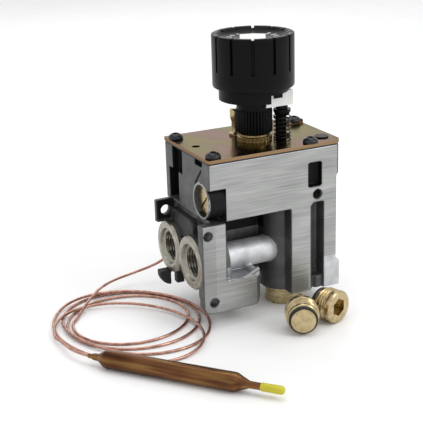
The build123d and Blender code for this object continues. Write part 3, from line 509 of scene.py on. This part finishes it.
def upright(x, y, z):
    """Local Z up, from a place on the valve."""
    return Matrix.Translation(at(x, y, z))


def pointing(origin, direction):
    """Local Z along a direction."""
    place = Vector(direction).to_track_quat("Z", "Y").to_matrix().to_4x4()
    place.translation = origin
    return place


def thread(pitch, depth, low, high, run_out=0.8):
    """Warp for lathe(): a V thread between two heights, depth added to the radius."""
    def warp(radius, height, angle):
        if not low < height < high:
            return radius, height
        phase = (height / pitch - angle / 360.0) % 1.0
        crest = 1.0 - abs(2.0 * phase - 1.0)
        fade = min(1.0, (height - low) / run_out, (high - height) / run_out)
        return radius + depth * min(1.0, crest * 1.25) * fade, height
    return warp


def heights(low, high, step):
    """Evenly spaced values from low to high, about step apart."""
    count = max(1, round((high - low) / step))
    return [low + (high - low) * i / count for i in range(count + 1)]


def tube(name, points, radius, sides=12, place=None):
    """Mesh tube with flat ends, along points given in millimetres."""
    mesh = bmesh.new()
    path = [Vector(p) for p in points]
    side = None
    rings = []
    for i, point in enumerate(path):
        ahead = (path[min(i + 1, len(path) - 1)] - path[max(i - 1, 0)]).normalized()
        if side is None:
            side = ahead.orthogonal().normalized()
        side = (side - ahead * side.dot(ahead)).normalized()
        across = ahead.cross(side)
        rings.append([mesh.verts.new((point + (side * math.cos(a) + across * math.sin(a)) * radius) * MM)
                      for a in (math.radians(x) for x in even_angles(sides))])
    for low, high in zip(rings, rings[1:]):
        for i in range(sides):
            j = (i + 1) % sides
            mesh.faces.new([low[i], low[j], high[j], high[i]])
    mesh.faces.new(reversed(rings[0]))
    mesh.faces.new(rings[-1])
    data = bpy.data.meshes.new(name)
    mesh.to_mesh(data)
    mesh.free()
    thing = link(name, data)
    thing.matrix_world = place or Matrix.Identity(4)
    shade(thing, 50.0)
    return thing


def slab(name, corners, low, high, place, width=0.3):
    """Prism over an outline in millimetres, with rounded edges."""
    mesh = bmesh.new()
    bottom = [mesh.verts.new((x * MM, y * MM, low * MM)) for x, y in corners]
    face = mesh.faces.new(bottom)
    grown = bmesh.ops.extrude_face_region(mesh, geom=[face])
    raised = [v for v in grown["geom"] if isinstance(v, bmesh.types.BMVert)]
    bmesh.ops.translate(mesh, verts=raised, vec=(0, 0, (high - low) * MM))
    bmesh.ops.recalc_face_normals(mesh, faces=mesh.faces)
    data = bpy.data.meshes.new(name)
    mesh.to_mesh(data)
    mesh.free()
    thing = link(name, data)
    thing.matrix_world = place
    shade(thing)
    if width:
        bevel(thing, width, 3)
    return thing


# ---- capillary ------------------------------------------------------------------------------
LEAD_ROUTE = [
    (-18.0, 38.0, 76.0), (-18.0, 45.0, 76.0), (-18.1, 51.0, 72.0), (-18.6, 53.5, 63.0),
    (-19.8, 54.0, 49.0), (-22.6, 53.8, 33.0), (-28.4, 53.9, 17.8), (-36.2, 54.6, 7.6),
    (-46.0, 56.6, 1.4), (-61.0, 61.0, -3.4), (-77.5, 59.6, -5.2), (-89.5, 52.4, -5.9),
    (-98.8, 42.8, -6.6), (-104.8, 36.2, -7.8), (-110.0, 31.2, -9.8), (-115.6, 24.6, -11.0),
]
TAIL_ROUTE = [
    (-134.9, -2.0, -9.3), (-134.8, -13.5, -8.1), (-133.4, -23.5, -7.1), (-131.1, -30.4, -6.5),
    (-128.3, -34.9, -6.5), (-55.6, -119.5, -6.5),
]
# The coil's turns as an oval that grows and drifts: centre and half axes at each whole turn.
COIL_STATIONS = [(-84.5, 10.9, 33.0, 36.8), (-87.1, 6.8, 37.4, 37.1), (-82.4, 6.4, 48.1, 41.8),
                 (-88.8, -0.2, 52.7, 41.4), (-98.7, -15.3, 48.8, 34.2)]
COIL_TILT, COIL_START = -67.0, 165.0
POINTS_PER_TURN = 16
# Where a later turn rides over earlier ones: starts up, is up, starts down, is down.
COIL_HUMPS = [(1.98, 2.03, 2.12, 2.20), (2.44, 2.54, 2.85, 2.95), (3.32, 3.43, 5.0, 6.0)]


def eased(t):
    """Smooth step from 0 to 1."""
    t = min(max(t, 0.0), 1.0)
    return t * t * (3 - 2 * t)


def coil_point(turns):
    """Centre line of the coil after a number of turns, on the surface or over a lower turn."""
    station = min(int(turns), len(COIL_STATIONS) - 2)
    share = turns - station
    x, y, a, b = ((1 - share) * p + share * q
                  for p, q in zip(COIL_STATIONS[station], COIL_STATIONS[station + 1]))
    tilt = math.radians(COIL_TILT)
    angle = math.radians(COIL_START + 360.0 * turns) - tilt
    outward = 2.0 / (1.0 + math.cos(math.radians(360.0 / POINTS_PER_TURN)))
    u, v = a * math.cos(angle) * outward, b * math.sin(angle) * outward
    lift = max(min(eased((turns - up) / (top - up)), eased((end - turns) / (end - down)))
               for up, top, down, end in COIL_HUMPS)
    z = FLOOR_Z + CAPILLARY_DIAMETER * (0.5 + 1.07 * lift)
    return x + u * math.cos(tilt) - v * math.sin(tilt), y + u * math.sin(tilt) + v * math.cos(tilt), z


def make_capillary():
    """The whole capillary, from the gland round the coil to the bulb, as one spline."""
    steps = (len(COIL_STATIONS) - 1) * POINTS_PER_TURN
    turns = [coil_point(i / POINTS_PER_TURN) for i in range(steps + 1)]
    route = LEAD_ROUTE + turns + TAIL_ROUTE
    data = bpy.data.curves.new("capillary", "CURVE")
    data.dimensions = "3D"
    spline = data.splines.new("NURBS")
    spline.points.add(len(route) - 1)
    for point, place in zip(spline.points, route):
        point.co = (*at(*place), 1.0)
    spline.order_u = 3
    spline.use_endpoint_u = True
    spline.resolution_u = 10
    data.bevel_depth = CAPILLARY_DIAMETER / 2 * MM
    data.bevel_resolution = 4
    data.use_fill_caps = True
    thing = link("capillary", data)
    data.materials.append(FINISHES["copper"])
    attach(thing, "casting")
    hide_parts("capillary_lead", "capillary_coil", "capillary_tail")
    return thing


capillary = make_capillary()


# ---- bulb ------------------------------------------------------------------------------
def bulb_at(distance):
    """Frame on the bulb's axis with local Z towards its tip."""
    x, y = BULB_START + BULB_DIRECTION * distance
    return pointing(at(x, y, FLOOR_Z + BULB_RADIUS), (*BULB_DIRECTION, 0))


def make_bulb():
    """Swaged copper bulb with a crimped neck, and its dipped tail."""
    profile = [(0, -11.6), (1.25, -11.6), (1.35, -9.5), (1.75, -8.8), (2.1, -7.4), (2.15, -5.2), (2.6, -4.2),
               (3.9, -2.2), (5.1, -0.5), (BULB_RADIUS, 0.8)]
    profile += [(BULB_RADIUS, z) for z in heights(3.0, BULB_LENGTH - 2, 6.0)]
    profile += [(5.4, BULB_LENGTH - 0.6), (5.0, BULB_LENGTH + 0.6), (3.9, BULB_LENGTH + 3.0),
                (2.9, BULB_LENGTH + 5.4), (2.15, BULB_LENGTH + 7.0), (2.0, BULB_LENGTH + 9.0),
                (2.0, BULB_LENGTH + 14.0), (0, BULB_LENGTH + 14.0)]

    def crimp(radius, height, angle):
        """Two flats pressed into the neck, and a slight waviness of the drawn tube."""
        share = eased((height + 8.8) / 1.0) * eased((-4.4 - height) / 1.0)
        radius *= 1 - 0.16 * share * (0.5 + 0.5 * math.cos(math.radians(4 * angle)))
        return radius * (1 + 0.004 * math.sin(height * 0.7 + math.radians(2 * angle))), height

    bulb = lathe("sensor_bulb_shell", profile, bulb_at(0), warp=crimp)
    stand_for(bulb, "sensor_bulb")
    tip_profile = [(0, 0), (2.15, 0), (2.35, 0.5), (2.42, 3), (2.36, 6), (2.5, 9), (2.46, 11.6), (2.1, 12.8),
                   (1.2, 13.4), (0, 13.5)]

    def uneven(radius, height, angle):
        place = Vector((math.cos(math.radians(angle)), math.sin(math.radians(angle)), height * 0.35))
        return radius * (1 + 0.05 * noise.noise(place * 1.7)), height

    tip = lathe("bulb_tip_dip", tip_profile, bulb_at(BULB_LENGTH + 14.0), warp=uneven)
    stand_for(tip, "bulb_tip")
    return bulb, tip


bulb, bulb_tip = make_bulb()


# ---- floor and light ------------------------------------------------------------------------------
def make_stage():
    """Pale floor, a white surround and soft studio lights."""
    data = bpy.data.meshes.new("floor")
    mesh = bmesh.new()
    bmesh.ops.create_grid(mesh, x_segments=8, y_segments=8, size=30.0)
    mesh.to_mesh(data)
    mesh.free()
    floor = link("floor", data)
    floor.location.z = SURFACE
    f = Finish("floor", grey(0.88), 0.6)
    f.set("Base Color", f.ramp(f.noise(60.0), (0.3, grey(0.87)), (0.7, grey(0.90))))
    data.materials.append(f.material)
    world = bpy.data.worlds.new("surround")
    world.use_nodes = True
    world.node_tree.nodes["Background"].inputs["Color"].default_value = (1, 1, 1, 1)
    world.node_tree.nodes["Background"].inputs["Strength"].default_value = 0.92
    bpy.context.scene.world = world
    centre = at(-20, 0, 60)
    lights = [("key", (0.55, -0.75, 0.65), 0.45, 3.2), ("top", (0.1, 0.1, 1.1), 0.8, 3.0),
              ("back", (0.3, 1.0, 0.6), 0.8, 1.5)]
    for name, offset, size, power in lights:
        lamp = bpy.data.lights.new(name, "AREA")
        lamp.shape, lamp.size, lamp.energy = "SQUARE", size, power
        thing = link(name, lamp)
        thing.matrix_world = pointing(centre + Vector(offset), offset)
    bpy.context.scene.view_settings.view_transform = "Standard"


make_stage()


# ---- casting ------------------------------------------------------------------------------
# Painted shadow: recesses painted black, as low corner and high corner on the valve's axes.
PAINTED_SHADOW_PLACES = [
    ((-48.0, 7.5, 77.5), (-40.8, 22.5, 93.2)), ((-48.0, 13.5, 58.5), (-38.8, 28.0, 78.5)),
    ((-58.5, 22.0, 46.0), (-46.4, 24.0, 58.6)), ((20.8, -29.9, 68.4), (30.6, -25.0, 84.0)),
    ((-47.0, -20.8, 89.2), (-42.9, -10.7, 93.2)), ((-36.0, -26.0, 40.0), (0.0, -2.6, 57.0)),
    ((-45.9, -30.3, 56.0), (-35.3, -13.8, 77.2)),
]
# Painted shade: places darkened to dark grey, and how dark: saddle over the ports, rear flange, chamber's
# wall.
PAINTED_SHADE_PLACES = [
    ((-51.9, -26.0, 37.0), (-43.0, 25.5, 52.6), 1.0), ((-58.5, 22.0, -2.0), (-42.0, 28.0, 46.0), 1.0),
    ((-12.0, -29.0, 36.0), (19.0, -6.0, 57.0), 0.6), ((-12.0, -29.0, -1.5), (19.0, -6.0, 36.0), 0.3),
]
# Painted light: as-cast skin made bright round the inlet passage, in the hollow under it, and on the right
# foot.
PASSAGE_Y, PASSAGE_REACH, PASSAGE_SPAN = -12.0, 9.4, (-36.0, 11.0)
HOLLOW = (-35.4, -29.8, 16.8), (-11.0, -2.0, 26.0)
FOOT = (32.4, -30.3, -2.0), (45.0, -28.0, 21.0)
FLANGE_TOP, RIGHT_PADS_X, BOSS_RIM = 57.0, 41.5, 11.6
# A dark line across the left face: top end and bottom end as (Y, Z), and its half width.
DARK_LINE_TOP, DARK_LINE_BOTTOM, DARK_LINE_HALF = (-19.4, 87.2), (-10.5, 77.2), 0.9
SQUARE_ON = 0.93                          # least part of the normal along an axis on a milled face
SKIN_DEPTH = 0.6                          # how far softened corners may lie from a milled plane


def casting_extras():
    """Cast shapes too soft for the CAD: a curved rib over the low block and a rounded nose."""
    rib = [(-35.0, -28.6, 17.9), (-30.0, -28.6, 17.3), (-25.0, -28.6, 17.4), (-20.5, -28.6, 18.6),
           (-16.8, -28.5, 20.6), (-13.2, -28.4, 22.0)]
    parts = [tube("rib", rib, 1.4)]
    fill = [(-14.6, y, 18.9) for y in (-28.0, -24.0, -20.0, -15.0)]
    parts.append(tube("rib_back", fill, 2.4))
    profile = [(0, -14.0), (8.6, -14.0), (8.6, 0.0), (8.0, 3.6), (6.4, 7.0), (3.6, 9.4), (0, 10.4)]
    nose = lathe("nose", profile, pointing(Vector((0, 0, 0)), (1, 0, 0)))
    nose.matrix_world = Matrix.Translation(Vector((0.0, PASSAGE_Y, PORT_Z)) * MM) @ nose.matrix_world
    parts.append(nose)
    for part in parts:
        part.data.transform(Matrix.Translation(at(0, 0, 0)) @ part.matrix_world)
        part.matrix_world = Matrix.Identity(4)
    return parts


def corner_cutter():
    """Rounds the low block's free lower corner."""
    x, z, radius = LOW_BLOCK_RIGHT, LOW_FRONT_BOTTOM, 5.5
    arc = [math.radians(a) for a in range(-90, 1, 10)]
    outline = [(x - radius + radius * math.cos(a), z + radius + radius * math.sin(a)) for a in arc]
    outline += [(x + 0.6, z + radius), (x + 0.6, z - 0.6), (x - radius, z - 0.6)]
    place = Matrix.Translation(at(0, 0, 0)) @ Matrix.Rotation(math.radians(90), 4, "X")
    return slab("cutter", outline, 7.0, 31.0, place, 0.0)


def port_cutters():
    """Room in each port for its turned rim and thread."""
    cutters = []
    for y in PORT_YS:
        wide, narrow = PORT_RADIUS + 0.02, THREAD_MAJOR + 0.5
        profile = [(0, -1.0), (wide, -1.0), (wide, 2.0), (narrow, 2.0), (narrow, 15.2), (0, 15.2)]
        cutters.append(lathe("cutter", profile, pointing(at(PORT_FACE_X, y, PORT_Z), (1, 0, 0))))
    return cutters


def in_box(point, low, high):
    """Whether a point lies in a box between two corners."""
    return all(a <= p <= b for p, a, b in zip(point, low, high))


def near_line(y, z, start, end):
    """Distance from a place on the left face to a line between two others."""
    place, a, b = Vector((y, z)), Vector(start), Vector(end)
    share = min(max((place - a).dot(b - a) / (b - a).length_squared, 0.0), 1.0)
    return (place - a.lerp(b, share)).length


def milled_share(x, y, z, normal):
    """How much a face is milled: fully on the front, top, underside and the regulator's rim."""
    if in_box((x, y, z), *FOOT):
        return 0.0
    machined = normal.y < -SQUARE_ON and y < FRONT_Y + SKIN_DEPTH
    front = machined and (x > RIDGE_X or z > FLANGE_TOP)
    top = normal.z > SQUARE_ON and z > TOP_Z - SKIN_DEPTH
    under = normal.z < -SQUARE_ON and z < SKIN_DEPTH
    rim = normal.x < -0.8 and x < LEFT_X - 0.3 and math.hypot(y - BOSS_Y, z - BOSS_Z) < BOSS_RIM
    if front or top or under or rim:
        return 1.0
    pad = normal.x > SQUARE_ON and x > RIGHT_PADS_X
    return 0.8 if pad or machined else 0.0


def shadow_and_dark_line_share(x, y, z):
    """1 in recesses painted black as shadow, and on a dark line across the left face."""
    on_dark_line = near_line(y, z, DARK_LINE_TOP, DARK_LINE_BOTTOM) < DARK_LINE_HALF and x < LEFT_X + 2 * SKIN_DEPTH
    return float(on_dark_line or any(in_box((x, y, z), *box) for box in PAINTED_SHADOW_PLACES))


def painted_light_share(x, y, z):
    """How much painted light brightens the as-cast skin."""
    on_passage = math.hypot(y - PASSAGE_Y, z - PORT_Z) < PASSAGE_REACH
    off_chamber = math.hypot(x - STEM_X, y - STEM_Y) > CHAMBER_RADIUS + 0.5
    if on_passage and off_chamber and PASSAGE_SPAN[0] < x < PASSAGE_SPAN[1]:
        return 1.0
    if in_box((x, y, z), *FOOT):
        return 0.8
    return 0.5 if in_box((x, y, z), *HOLLOW) else 0.0


def painted_shade_share(x, y, z):
    """How far painted shade darkens the skin; skin with painted light isn't darkened."""
    if painted_light_share(x, y, z):
        return 0.0
    return max((share for low, high, share in PAINTED_SHADE_PLACES if in_box((x, y, z), low, high)), default=0.0)


def mark_faces(data):
    """Face attributes that the cast finish reads: milled faces, painted shadow and the dark line, painted
    shade and painted light.
    """
    names = ("milled", "dark", "painted_shade", "painted_light")
    for name in names:
        data.attributes.new(name, "FLOAT", "FACE")
    milled, dark, painted_shade, painted_light = (data.attributes[name].data for name in names)
    for face in data.polygons:
        place = valve_xyz(face.center)
        milled[face.index].value = milled_share(*place, face.normal)
        dark[face.index].value = shadow_and_dark_line_share(*place)
        painted_shade[face.index].value = painted_shade_share(*place)
        painted_light[face.index].value = painted_light_share(*place)


def apply_modifiers(thing):
    """Replace an object's mesh by the one its modifiers give."""
    bpy.context.view_layer.update()
    evaluated = thing.evaluated_get(bpy.context.evaluated_depsgraph_get())
    data = bpy.data.meshes.new_from_object(evaluated)
    thing.modifiers.clear()
    thing.data = data


def make_casting():
    """Die casting with soft cast edges, remeshed from the CAD casting."""
    casting = link("casting_shell", frame["nodes"]["valve_body"].data.copy())
    casting.data.materials.clear()
    for cutter in port_cutters() + [corner_cutter()]:
        modifier = casting.modifiers.new("port", "BOOLEAN")
        modifier.operation, modifier.object, modifier.solver = "DIFFERENCE", cutter, "EXACT"
    apply_modifiers(casting)
    for thing in [o for o in bpy.data.objects if o.name.startswith("cutter")]:
        bpy.data.objects.remove(thing)
    extras = casting_extras()
    mesh = bmesh.new()
    mesh.from_mesh(casting.data)
    for extra in extras:
        mesh.from_mesh(extra.data)
        bpy.data.objects.remove(extra)
    mesh.to_mesh(casting.data)
    mesh.free()
    remesh = casting.modifiers.new("skin", "REMESH")
    remesh.mode, remesh.voxel_size = "VOXEL", 0.55 * MM
    soften = casting.modifiers.new("soften", "SMOOTH")
    soften.factor, soften.iterations = 0.5, 4
    apply_modifiers(casting)
    casting.data.materials.clear()
    mark_faces(casting.data)
    casting.data.shade_smooth()
    return stand_for(casting, "valve_body")


def make_ports():
    """Turned rim and helical thread in the mouth of each gas port."""
    start, end, back = 2.4, 14.8, 2.2
    for name, y in zip(("inlet", "outlet"), PORT_YS):
        profile = [(PORT_RADIUS, back), (PORT_RADIUS, 1.2), (PORT_RADIUS - 0.25, 0.85),
                   (PORT_RADIUS - 0.95, 0.12), (PORT_RADIUS - 1.25, 0.0), (THREAD_MAJOR + 1.5, 0.0),
                   (THREAD_MAJOR + 1.25, 0.12), (THREAD_MAJOR + 0.4, 1.95), (THREAD_MINOR + 0.1, 2.3)]
        profile += [(THREAD_MINOR, z) for z in heights(start, end, THREAD_PITCH / 8)]
        profile += [(THREAD_MAJOR + 0.5, end), (THREAD_MAJOR + 0.5, back), (PORT_RADIUS, back)]
        warp = thread(THREAD_PITCH, THREAD_MAJOR - THREAD_MINOR, start, end)

        def inside(radius, height, angle):
            return warp(radius, height, angle) if abs(radius - THREAD_MINOR) < 1e-6 else (radius, height)

        mouth = pointing(at(PORT_FACE_X, y, PORT_Z), (1, 0, 0))
        rim = lathe(f"{name}_port_rim", profile, mouth, 120, inside)
        detail_on(rim, "valve_body", PORT_FINISH)


make_casting()
make_ports()
from_cad("cover_seal", "cover_gasket", 0.1)
from_cad("cover", "cover_plate", 0.35, 3)


# ---- cover fittings ------------------------------------------------------------------------------
def lobed(radius, depth, lobes):
    """Warp for lathe(): a lobed recess inside a radius."""
    def warp(r, z, angle):
        if r > radius + 1e-6:
            return r, z
        return r * (1 - depth * (0.5 - 0.5 * math.cos(math.radians(lobes * angle)))), z
    return warp


def make_cover_screws():
    """Domed black screws with a lobed recess."""
    for i, (x, y) in enumerate(COVER_SCREWS):
        base = PLATE_TOP + (0.8 if i == len(COVER_SCREWS) - 1 else 0.0)
        profile = [(0, 0), (4.35, 0), (4.65, 0.25), (4.7, 0.7), (4.6, 1.35), (4.2, 2.15), (3.55, 2.8),
                   (2.8, 3.3), (2.25, 3.5), (2.05, 3.4), (1.95, 2.0), (1.2, 1.6), (0, 1.5)]
        screw = lathe(f"cover_screw_{i + 1}", profile, upright(x, y, base), 96, lobed(2.25, 0.22, 6))
        if i == 0:
            stand_for(screw, "cover_screws")
        else:
            detail_on(screw, "cover_screws")


def make_pillar():
    """Brass pillar with a waist, beside the spindle."""
    profile = [(0, 0), (3.3, 0), (3.5, 0.2), (3.5, 1.4), (3.3, 1.6), (2.2, 2.3), (2.0, 3.0), (2.0, 8.8),
               (2.15, 9.6), (2.75, 11.2), (2.85, 11.8), (2.85, 15.9), (2.6, 16.6), (2.0, 17.2), (0, 17.2)]
    stand_for(lathe("guide_pillar_turned", profile, upright(*PILLAR, PLATE_TOP), 64), "guide_pillar")


def make_bush():
    """Brass bush with a knurled collar under the spline hub; its brass is darkened as painted shade."""
    profile = [(4.05, 0), (10.9, 0), (11.0, 0.15), (11.0, 2.2), (10.8, 2.45), (9.7, 3.0), (9.5, 4.0),
               (9.2, 4.2), (4.05, 4.2)]

    def knurl(radius, height, angle):
        if radius > 10.7 and 0.1 < height < 2.5:
            radius -= 0.35 * abs(math.sin(math.radians(angle * 15)))
        return radius, height

    stand_for(lathe("spindle_bush_turned", profile, upright(0, 0, PLATE_TOP), 240, knurl), "spindle_bush",
              finish=BUSH_PAINTED_SHADE_FINISH)


def make_hub():
    """Black hub with rounded splines over its lower half."""
    radius, bottom, spline_top, top = 11.4, 100.3, 115.0, 122.0
    profile = [(4.0, bottom), (9.6, bottom), (10.5, bottom + 0.1), (11.2, bottom + 0.5), (11.4, bottom + 1.1)]
    profile += [(radius, z) for z in heights(bottom + 1.6, spline_top - 1.2, 1.5)]
    profile += [(11.3, spline_top - 0.5), (10.95, spline_top), (10.75, spline_top + 0.3), (10.85, top - 0.3),
                (10.6, top), (9.0, top), (9.0, 134.0), (4.0, 134.0)]

    def splines(r, z, angle):
        if z > spline_top or r < 10.4:
            return r, z
        groove = 0.5 + 0.5 * math.cos(math.radians(36 * angle))
        return r - 0.85 * groove ** 1.5, z

    stand_for(lathe("spline_hub_moulded", profile, upright(0, 0, 0), 360, splines), "spline_hub")


def helix(radius, wire, low, high, turns, steps=40):
    """Centre line of a compression spring with one closed, flat turn at each end."""
    points = []
    total = turns + 2.0
    for i in range(int(total * steps) + 1):
        turn = i / steps
        if turn < 1:
            rise = 0.0
        elif turn > total - 1:
            rise = 1.0
        else:
            rise = (turn - 1) / turns
        flat = wire * 1.02 * (min(turn, 1.0) - 1.0), wire * 1.02 * max(0.0, turn - total + 1)
        z = low + wire * 1.52 + rise * (high - low - wire * 3.04) + flat[0] + flat[1]
        angle = math.radians(360.0 * turn)
        points.append((radius * math.cos(angle), radius * math.sin(angle), z))
    return points


def make_springs():
    """Coil springs as wire tubes, each with its own mesh."""
    springs = [
        ("return_spring", (STEM_X, STEM_Y), 5.1, 0.9, PLATE_TOP, 110.3, 4.6, "knob_press", 0.62),
        ("safety_spring", (STEM_X, STEM_Y), 7.7, 0.7, 22.05, 39.95, 3.0, "safety_valve_lift", 0.69),
        ("main_valve_spring", (-4.0, 13.2), 7.0, 0.6, 62.8, 66.9, 0.6, "main_valve_lift", 0.55),
    ]
    for node, (x, y), radius, wire, low, high, turns, joint, keep in springs:
        spring = tube(f"{node}_wire", helix(radius, wire, low, high, turns), wire / 2, 12, upright(x, y, 0))
        stand_for(spring, node)
        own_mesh(spring)


def make_carrier_slot_shadow():
    """Black slab in the carrier's slot, a painted shadow that makes the shallow slot read as deep."""
    outline = [(6.7, -13.15), (12.8, -13.15), (12.8, -11.45), (6.7, -11.45)]
    slot_shadow = slab("carrier_window", outline, 122.6, 125.8, upright(0, 0, 0), 0.15)
    detail_on(slot_shadow, "press_carrier", FINISHES["black_plastic"], "black_plastic")


make_cover_screws()
make_pillar()
make_bush()
make_hub()
make_springs()
from_cad("stem", "push_stem", 0.2)
from_cad("carrier", "press_carrier", 0.4, 3)
from_cad("skirt", "press_skirt", 0.35, 3)
make_carrier_slot_shadow()
from_cad("earth_terminal", "earth_tab", 0.15)
from_cad("spare_hole_cap", "blanking_cap", 0.2)


# ---- knob ------------------------------------------------------------------------------
def make_knob():
    """Finger knob: grooved wall, notched rim and a dished top."""
    half_width, bottom = 1.7, KNOB_BOTTOM + 10.6

    def groove(radius, height, angle):
        """Distance in degrees to the nearest groove decides how deep the wall is there."""
        pitch = 360.0 / KNOB_GROOVES
        off = abs((angle - KNOB_GROOVE_ANGLE + pitch / 2) % pitch - pitch / 2)
        inside = eased((half_width + 0.5 - off) / 0.5) * eased((height - bottom) / 0.6)
        if radius > 23.5 and height > bottom:
            radius -= 1.5 * inside
        if radius > 20.4 and height > KNOB_TOP - 1.2:
            height -= 1.3 * inside
        return radius, height

    angles = set(even_angles(180))
    for i in range(KNOB_GROOVES):
        centre = (KNOB_GROOVE_ANGLE + i * 360.0 / KNOB_GROOVES) % 360
        for off in (0, 1.0, half_width - 0.1, half_width + 0.12, half_width + 0.35, half_width + 0.5):
            angles |= {round((centre + off) % 360, 4), round((centre - off) % 360, 4)}
    profile = [(0, 142.6), (9.05, 142.6), (9.05, KNOB_BOTTOM), (11.5, KNOB_BOTTOM), (11.5, 155.0),
               (22.3, 155.0), (22.3, KNOB_BOTTOM + 0.2), (22.5, KNOB_BOTTOM), (24.0, KNOB_BOTTOM),
               (24.75, KNOB_BOTTOM + 0.4), (KNOB_RADIUS, KNOB_BOTTOM + 1.2), (KNOB_RADIUS, KNOB_BOTTOM + 5)]
    profile += [(KNOB_RADIUS, bottom + rise) for rise in (-0.1, 0.15, 0.4, 0.7)]
    profile += [(KNOB_RADIUS, z) for z in heights(bottom + 2, KNOB_TOP - 1.4, 4.0)]
    profile += [(KNOB_RADIUS - 0.08, KNOB_TOP - 0.7), (KNOB_RADIUS - 0.3, KNOB_TOP - 0.3),
                (KNOB_RADIUS - 0.7, KNOB_TOP - 0.05), (KNOB_RADIUS - 1.2, KNOB_TOP), (22.6, KNOB_TOP),
                (21.9, KNOB_TOP - 0.1), (21.4, KNOB_TOP - 0.5), (20.6, KNOB_TOP - 1.4), (19.6, KNOB_TOP - 2.3),
                (18.6, KNOB_TOP - 2.7), (17.0, KNOB_TOP - 2.85), (12.0, KNOB_TOP - 3.1), (0, KNOB_TOP - 3.4)]
    stand_for(lathe("knob_shell", profile, upright(0, 0, 0), angles, groove), "knob")


def make_knob_top():
    """White marker in the knob's top, with plain raised ticks round it."""
    turn = Matrix.Rotation(math.radians(KNOB_GROOVE_ANGLE), 4, "Z")
    outline = [(-5.0, -7.8), (13.5, -7.8), (15.6, -6.6), (16.0, -5.0), (16.0, 5.0), (15.6, 6.6), (13.5, 7.8),
               (-5.0, 7.8), (-6.2, 3.0), (-7.0, 0.0), (-6.2, -3.0)]
    marker = slab("knob_marker", outline, 156.6, KNOB_TOP - 1.9, upright(0, 0, 0) @ turn, 0.5)
    stand_for(marker, "knob_insert")
    for i, angle in enumerate((52, 74, 96, 118, 140, 220, 242, 264, 286, 308)):
        size = 1.6 + 0.9 * (i % 5) / 4
        bar = [(12.6, -0.45), (12.6 + size * 1.6, -0.6), (12.6 + size * 1.6, 0.6), (12.6, 0.45)]
        place = upright(0, 0, 0) @ Matrix.Rotation(math.radians(KNOB_GROOVE_ANGLE + angle), 4, "Z")
        tick = slab(f"dial_tick_{i + 1}", bar, KNOB_TOP - 3.4, KNOB_TOP - 2.7, place, 0.12)
        detail_on(tick, "knob_insert")


make_knob()
make_knob_top()


# ---- brass fittings under and beside the valve ---------------------------------------------------
def make_magnet_nut():
    """Turned brass nut of the magnet unit."""
    profile = [(2.0, 8.0), (2.0, -2.0), (4.0, -2.0), (4.0, -11.2), (4.6, FLOOR_Z), (10.9, FLOOR_Z),
               (11.6, -11.8), (12.0, -11.2), (12.0, -7.6), (11.75, -7.4), (11.75, -7.0), (12.0, -6.8),
               (12.0, -3.2),
               (12.3, -2.9), (12.9, -2.5), (12.9, -0.5), (12.6, -0.1), (10.5, 0.0), (10.5, 8.0), (2.0, 8.0)]
    stand_for(lathe("magnet_nut_turned", profile, upright(STEM_X, STEM_Y, 0), 96), "magnet_nut")


def plug_profile():
    """Half section of a blanking plug from its O-ring end, at 0, down to its flanged end."""
    profile = [(0, 0), (7.0, 0), (7.45, -0.15), (7.6, -0.45), (7.6, -0.85), (6.9, -0.95), (6.9, -3.05),
               (8.6, -3.2), (9.0, -3.4), (9.45, -3.9), (9.6, -4.4), (9.6, -5.6), (9.2, -6.0)]
    profile += [(9.15, -z) for z in heights(6.2, 11.6, THREAD_PITCH / 8)]
    profile += [(9.2, -11.8), (10.0, -12.2), (10.3, -12.5), (PLUG_RADIUS, -12.9), (PLUG_RADIUS, -15.4),
                (10.1, -16.0), (9.6, -16.4), (9.2, -PLUG_LENGTH), (6.3, -PLUG_LENGTH), (5.8, -16.2)]
    return profile


def plug_warp(radius, height, angle):
    """Thread on the plug's wall, and a hexagon in its socket."""
    if abs(radius - 9.15) < 1e-6:
        turned = thread(THREAD_PITCH, 1.15, 6.1, 11.7)(radius, -height, angle)
        return turned[0], height
    if radius < 5.9 and height < -1:
        sector = (angle + 30.0) % 60.0 - 30.0
        return radius * (5.0 / 5.8) / math.cos(math.radians(sector)), height
    return radius, height


def make_plugs():
    """Two loose brass blanking plugs with their O-rings."""
    socket = [(5.8, -8.5), (2.0, -8.0), (0, -7.6)]
    plugs = [("a", PLUG_A_FACE, PLUG_A_ANGLE, False), ("b", PLUG_B_FACE, PLUG_B_ANGLE, True)]
    for letter, face, angle, flip in plugs:
        direction = Vector((math.cos(math.radians(angle)), math.sin(math.radians(angle)), 0))
        origin = at(*face, FLOOR_Z + PLUG_RADIUS)
        place = pointing(origin, direction)
        if flip:
            place = pointing(origin - direction * PLUG_LENGTH * MM, -direction)
        plug = lathe(f"plug_{letter}", plug_profile() + socket, place, 120, plug_warp)
        stand_for(plug, f"port_plug_{letter}")
        turn = [math.radians(a) for a in range(0, 361, 20)]
        ring = [(7.95 + math.cos(a), -2.0 + math.sin(a)) for a in turn]
        stand_for(lathe(f"plug_seal_{letter}", ring, place, 96), f"plug_ring_{letter}")


make_magnet_nut()
make_plugs()
from_cad("regulator_disc", "regulator_screw", 0.15)
# The pilot screw is painted near-black as the shadow of its hole.
from_cad("pilot_adjuster_screw", "pilot_screw", 0.1, finish=HOLE_SHADOW_FINISH)
from_cad("gland_nut", "capillary_gland", 0.25)
from_cad("pilot_union", "pilot_fitting", 0.3)
